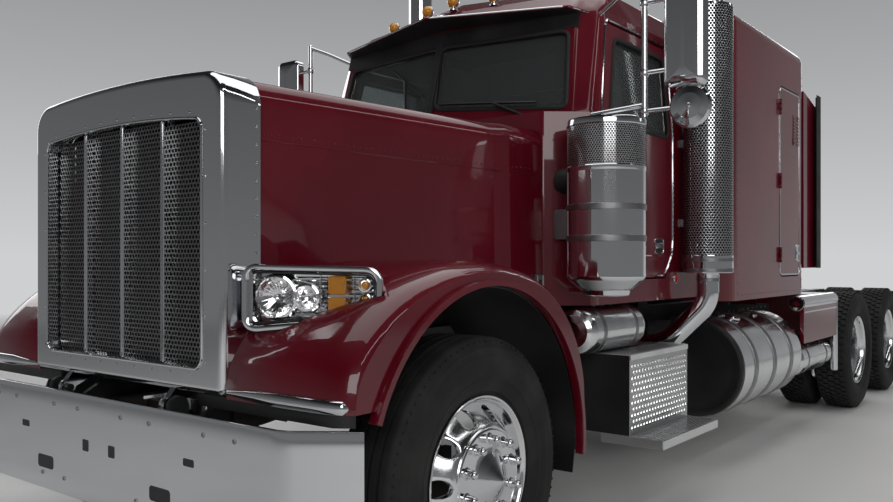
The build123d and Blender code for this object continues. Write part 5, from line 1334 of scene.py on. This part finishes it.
# %% Rail bolts, tail lamp board and deck ribs
deck_low, deck_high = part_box("deck_plate")
rail_rear = (front_axle_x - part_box("frame")[0].x) * 1000
rail_out, rail_up = deck_high.y * 1000, deck_low.z * 1000
bolts = Shape()
for station in range(4560, int(rail_rear) - 60, 120):
    for drop in (45, 110, 190):
        bolts.turned([(11, -1), (11, 7), (8, 9), (0, 9)], at(station, rail_out, rail_up - drop), outwards, 6)
bolts.mirrored().make("rail_bolts", steel, "root", sharp=30)
lamps, lamp_cups = Shape(), Shape()
for out in (290, -290, 425, -425):
    spot = at(rail_rear - 8, out, rail_up - 150)
    lamps.turned([(50, 0), (49, 8), (38, 13), (0, 15)], spot, backwards, 28)
    lamp_cups.turned([(56, -14), (57, 4), (54, 6), (50, 3)], spot, backwards, 28)
lamp_board = Shape().block((rail_rear - 22, -500, rail_up - 212), (rail_rear - 16, 500, rail_up - 60))
lamp_board.make("tail_lamp_board", black, "root")
deck_ribs = Shape()
deck_front, deck_long = (front_axle_x - deck_high.x) * 1000, (deck_high.x - deck_low.x) * 1000
deck_up, rib_count = deck_high.z * 1000, 12
for number in range(rib_count):
    station = deck_front + 24 + number * (deck_long - 48) / (rib_count - 1)
    deck_ribs.block((station - 6, -rail_out + 20, deck_up - 0.5), (station + 6, rail_out - 20, deck_up + 3))
deck_ribs.make("deck_ribs", brushed, "root")
print("rail bolts stand", round(rail_out), "mm out")

# %% [markdown]
# ## Seats and bunk
# A cushion is foam inside sewn cloth, so its skin is tight, crowned in the middle and drawn in along the
# seams. Each starts as a slightly small closed form, is remeshed evenly, and is blown up by a cloth
# simulation with no gravity. How far a point may move is capped, so that the foam stays in its own space.
# Sewn channels come after that.


# %% Stuffing
def baked(piece):
    """The piece keeps what its modifiers have made of it, and no modifier."""
    piece.data = bpy.data.meshes.new_from_object(piece.evaluated_get(bpy.context.evaluated_depsgraph_get()))
    piece.modifiers.clear()


def stuffed(name, rings, voxel, cap, seams, room, replaces=()):
    """A closed form blown up as cloth; seams are (direction, (side, height, way), place, width, depth)."""
    piece = Shape().skin(rings).make(name, cloth, "root", replaces)
    grid = piece.modifiers.new("even", "REMESH")
    grid.mode = "VOXEL"
    grid.voxel_size = voxel
    baked(piece)
    start = [point.co.copy() for point in piece.data.vertices]
    blown = piece.modifiers.new("blown", "CLOTH")
    blown.settings.quality = 4
    blown.settings.use_pressure = True
    blown.settings.uniform_pressure_force = 4.0
    blown.settings.effector_weights.gravity = 0.0
    for step in range(1, 21):
        scene.frame_set(step)
    baked(piece)
    scene.frame_set(1)
    for before, point in zip(start, piece.data.vertices):
        moved = point.co - before
        if moved.length > cap:
            moved = moved.normalized() * cap
        spot = before + moved
        for along, (side, height, way), place_at, width, depth in seams:
            reach = (spot[along] - place_at) / width
            if abs(reach) < 3 and abs(spot[side] - height) < 0.09:
                spot[side] -= way * depth * 2.718 ** (-reach * reach)
        point.co = Vector([min(max(value, least), most) for value, least, most in zip(spot, *room)])
    piece.data.materials.clear()
    piece.data.materials.append(cloth)
    piece.data.shade_smooth()
    soft = piece.modifiers.new("soft", "SUBSURF")
    soft.levels = soft.render_levels = 1
    return piece


def pad_rings(low, high, radius, levels):
    """Level rings between two (station, out) corners; levels are (inset, up)."""
    return section_rings(oblong(*low, *high), levels, lambda station, out, up: at(station, out, up), radius)


seat_out, seat_voxel, bunk_voxel = 480, 0.014, 0.022
print("cloth is simulated on cells of", round(seat_voxel * 1000), "and", round(bunk_voxel * 1000), "mm")

# %% [markdown]
# The seats have a cushion with three sewn channels across it and a back with channels between two side
# bolsters. The bunk's mattress is quilted in straight rows.

# %% Seats and mattress
pads = []
for side, name in ((1, "left"), (-1, "right")):
    out = seat_out * side
    levels = [(60, 1496), (26, 1500), (16, 1520), (14, 1565), (22, 1590), (45, 1602), (90, 1606)]
    low, high = at(2238, out - 244, 1482), at(1861, out + 244, 1619)
    top = (2, high.z, 1)
    seams = [(0, top, at(station, 0, 0).x, 0.012, 0.012) for station in (1960, 2050, 2140)]
    seams += [(1, top, (out + shift) / 1000, 0.01, 0.012) for shift in (-150, 150)]
    rings = pad_rings((1862, out - 243), (2237, out + 243), 70, levels)
    pads.append(stuffed(f"seat_cushion_{name}", rings, seat_voxel, 0.012, seams, (low, high),
                        ["seats"] if side == 1 else []))
    rings = []
    insets = ((0.0, 50), (0.02, 26), (0.07, 14), (0.3, 12), (0.6, 14), (0.8, 22), (0.9, 34),
              (0.97, 60), (0.99, 100))
    for share, inset in insets:
        up = 1500 + 770 * share
        lean = max(0.0, (up - 1600) / 680)
        shrink = min(inset, 40) * 0.6
        corners = oblong(2241 + 70 * lean + shrink, out - 234 + inset, 2369 + 50 * lean - shrink,
                         out + 234 - inset)
        rings.append([at(station, beside, up) for station, beside in loop_of(corners, 0, 44)])
    low, high = at(2421, out - 235, 1484), at(2241, out + 235, 2279)
    front = (0, high.x - 0.04, 1)
    seams = [(1, front, (out + shift) / 1000, 0.01, 0.01) for shift in (-130, 130)]
    seams += [(2, front, up / 1000, 0.012, 0.009) for up in (1700, 1800, 1900, 2000, 2100)]
    pads.append(stuffed(f"seat_back_{name}", rings, seat_voxel, 0.011, seams, (low, high)))
levels = [(60, 1574), (22, 1578), (14, 1600), (14, 1680), (24, 1700), (60, 1706), (140, 1708)]
room = (at(4399, -984, 1561), at(3691, 984, 1719))
quilting = [(1, (2, room[1].z, 1), out / 1000, 0.016, 0.012) for out in range(-800, 801, 200)]
rings = pad_rings((3692, -983), (4398, 983), 110, levels)
pads.append(stuffed("bunk_mattress", rings, bunk_voxel, 0.012, quilting, room, ["bunk"]))
print("padded pieces", len(pads), "points", sum(len(pad.data.vertices) for pad in pads))

# %% [markdown]
# Under the cushions stand the seats' air bases in folded rubber, and under the mattress a plain carpeted
# box. The dash gets its dials in bright rims, turned like the real bezels, and the tail lamps get their
# lenses.

# %% Seat bases, bunk base and dials
bases = Shape()
for out in (seat_out, -seat_out):
    folds = [(60 if number in (0, 14) else 14 if number % 2 else 0, 1128 + number * 25)
             for number in range(15)]
    bases.skin(pad_rings((1942, out - 168), (2298, out + 168), 40, folds))
    bases.block((1900, out - 236, 1470), (2366, out + 236, 1483))
bases.make("seat_bases", trim, "root")
box_levels = [(4, 1102), (0, 1110), (0, 1552), (6, 1560)]
Shape().skin(pad_rings((3702, -998), (4396, 998), 100, box_levels)).make("bunk_base", trim, "root")
rims, faces = Shape(), Shape()
dash_facing = Vector((-0.857, 0, 0.515))
dial_count = 7
for number in range(dial_count):
    radius = 46 if number in (2, 3) else 32
    spot = at(1461, 190 + number * 62 + (14 if number > 2 else -14), 1947)
    rims.turned([(radius - 26, -1), (radius - 20, 5), (radius - 23, 8), (radius - 26, 5)], spot,
                dash_facing, 28)
    faces.turned([(radius - 24, 0), (radius - 25, 3), (0, 3)], spot, dash_facing, 28)
rims.make("dial_rims", chrome, "root", sharp=30)
faces.make("dials", black, "root")
lamps.make("tail_lamps", red, "root")
lamp_cups.make("tail_lamp_cups", chrome, "root")
print("dials", dial_count)

# %% [markdown]
# Inside, each door has a trimmed card with an armrest and a pull, and a ribbed rubber mat covers the cab
# floor. They are thin pieces that follow the door's own outline, drawn in from its edges.

# %% Door cards and floor mat
card_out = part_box("door_left")[0].y * 1000 + 40
lower_door = [(2140, 1375), (2140, 1975), (1325, 1975), (1325, 1245), (2025, 1245)]
card = Shape().skin(section_rings(lower_door, ((0, -1), (0, 4), (8, 8), (60, 9)),
                                  lambda station, up, depth: at(station, card_out - depth, up), 30))
card.block((1560, card_out - 62, 1560), (2060, card_out - 4, 1600))
pull = [at(1640, card_out - 6, 1750), at(1640, card_out - 40, 1750), at(1860, card_out - 40, 1790),
        at(1860, card_out - 6, 1790)]
card.tube(bent(pull, 20), 9, 8)
make_pairs("cab_door", (card, "door_card", trim), bevel=2)
mat = Shape().block((1345, -690, 1124.5), (2560, 690, 1129))
for number in range(30):
    mat.block((1370, -675 + number * 46, 1128.5), (1860, -661 + number * 46, 1131.5))
mat.make("floor_mat", rubber, "root")
print("door card", round(card_out), "mm out")

# %% [markdown]
# The stage is plain: a pale floor that fades into the room, a few large soft lamps and a camera that sees
# the front left of the truck. The camera's place came from the wheels: a circle seen as an ellipse says
# where the lens is. The room is pale behind the truck and darker behind the camera, so the bright metal has
# something dark to mirror.

# %% Floor and room
floor_mesh = bpy.data.meshes.new("floor")
floor_mesh.from_pydata([(x, y, 0) for x, y in oblong(-40, -40, 40, 40)], [], [(0, 1, 2, 3)])
floor = bpy.data.objects.new("floor", floor_mesh)
scene.collection.objects.link(floor)
pale = finish("pale_floor", (0.78, 0.78, 0.77), 0.0, 0.6)
rough_between(pale, 0.5, 0.7, 2.0)
far = node(pale, "VectorMath", {"Vector": place(pale)}, operation="LENGTH")
faded = node(pale, "MapRange", {"Value": far.outputs["Value"]}, From_Min=9.0, From_Max=19.0,
             To_Min=1.0, To_Max=0.0)
to_shader(pale, "Alpha", faded.outputs[0])
floor_mesh.materials.append(pale)

studio = bpy.data.worlds.new("studio")
scene.world = studio
studio.use_nodes = True
where = node(studio, "TexCoord").outputs["Generated"]
split = node(studio, "SeparateXYZ", {0: where})
shade = node(studio, "ValToRGB", {"Fac": split.outputs["Z"]})
for height, grey in ((0.001, 0.62), (0.2, 0.4), (0.6, 0.05)):
    stop = shade.color_ramp.elements.new(height)
    stop.color = (grey, grey * 1.01, grey * 1.03, 1)
for number in (-1, 0):
    shade.color_ramp.elements.remove(shade.color_ramp.elements[number])
ahead = node(studio, "VectorMath", {0: where}, operation="DOT_PRODUCT")
ahead.inputs[1].default_value = (0.79, 0.62, 0.0)
darker = node(studio, "MapRange", {"Value": ahead.outputs["Value"]}, From_Min=-0.82,
              From_Max=-0.45, To_Min=1.0, To_Max=0.28)
room_light = node(studio, "VectorMath", {0: shade.outputs["Color"], "Scale": darker.outputs[0]},
                  operation="SCALE")
background = studio.node_tree.nodes["Background"]
studio.node_tree.links.new(room_light.outputs[0], background.inputs["Color"])
background.inputs["Strength"].default_value = 1.0
print("the floor fades between 9 and 19 m out")

# %% [markdown]
# Large soft lamps stand round the truck. Those that would show as hard white shapes in the paint are left
# out of reflections, and a narrow strip draws one long highlight along the left side.

# %% Lamps and camera
def softbox(name, spot, target, size, power, in_reflections=True):
    """A large soft lamp aimed at a point."""
    lamp = bpy.data.lights.new(name, "AREA")
    lamp.shape = "RECTANGLE"
    lamp.size, lamp.size_y = size
    lamp.energy = power
    lamp_object = bpy.data.objects.new(name, lamp)
    lamp_object.location = spot
    lamp_object.rotation_euler = (Vector(target) - Vector(spot)).to_track_quat("-Z", "Y").to_euler()
    lamp_object.visible_glossy = in_reflections
    scene.collection.objects.link(lamp_object)


softbox("overhead", (0, 0, 9), (0, 0, 0), (14, 7), 420)
softbox("front_left", (10, 7, 5), (1, 0, 1.5), (6, 4), 260)
softbox("right_side", (-1, -11, 5), (0, 0, 1.5), (10, 4), 200)
softbox("left_side", (-4, 11, 5), (-1, 0, 1.5), (10, 4), 220, False)
softbox("left_strip", (0, 6, 7), (0, 0, 1.5), (14, 0.35), 60)
softbox("rear", (-12, -3, 5), (-3, 0, 1.5), (6, 4), 160)

lens_place = Vector((5.9198, 2.9371, 1.3062))
lens_aim = Vector((-0.7866, -0.6175, 0.0))
camera_data = bpy.data.cameras.new("photographer")
camera_data.sensor_width = 36.0
camera_data.lens = 33.854
camera_data.shift_y = 0.01096
camera = bpy.data.objects.new("photographer", camera_data)
camera.location = lens_place
camera.rotation_euler = lens_aim.to_track_quat("-Z", "Y").to_euler()
scene.collection.objects.link(camera)
scene.camera = camera
scene.view_settings.view_transform = "Standard"
print("camera", tuple(round(c, 2) for c in lens_place), "lens", camera_data.lens, "mm")
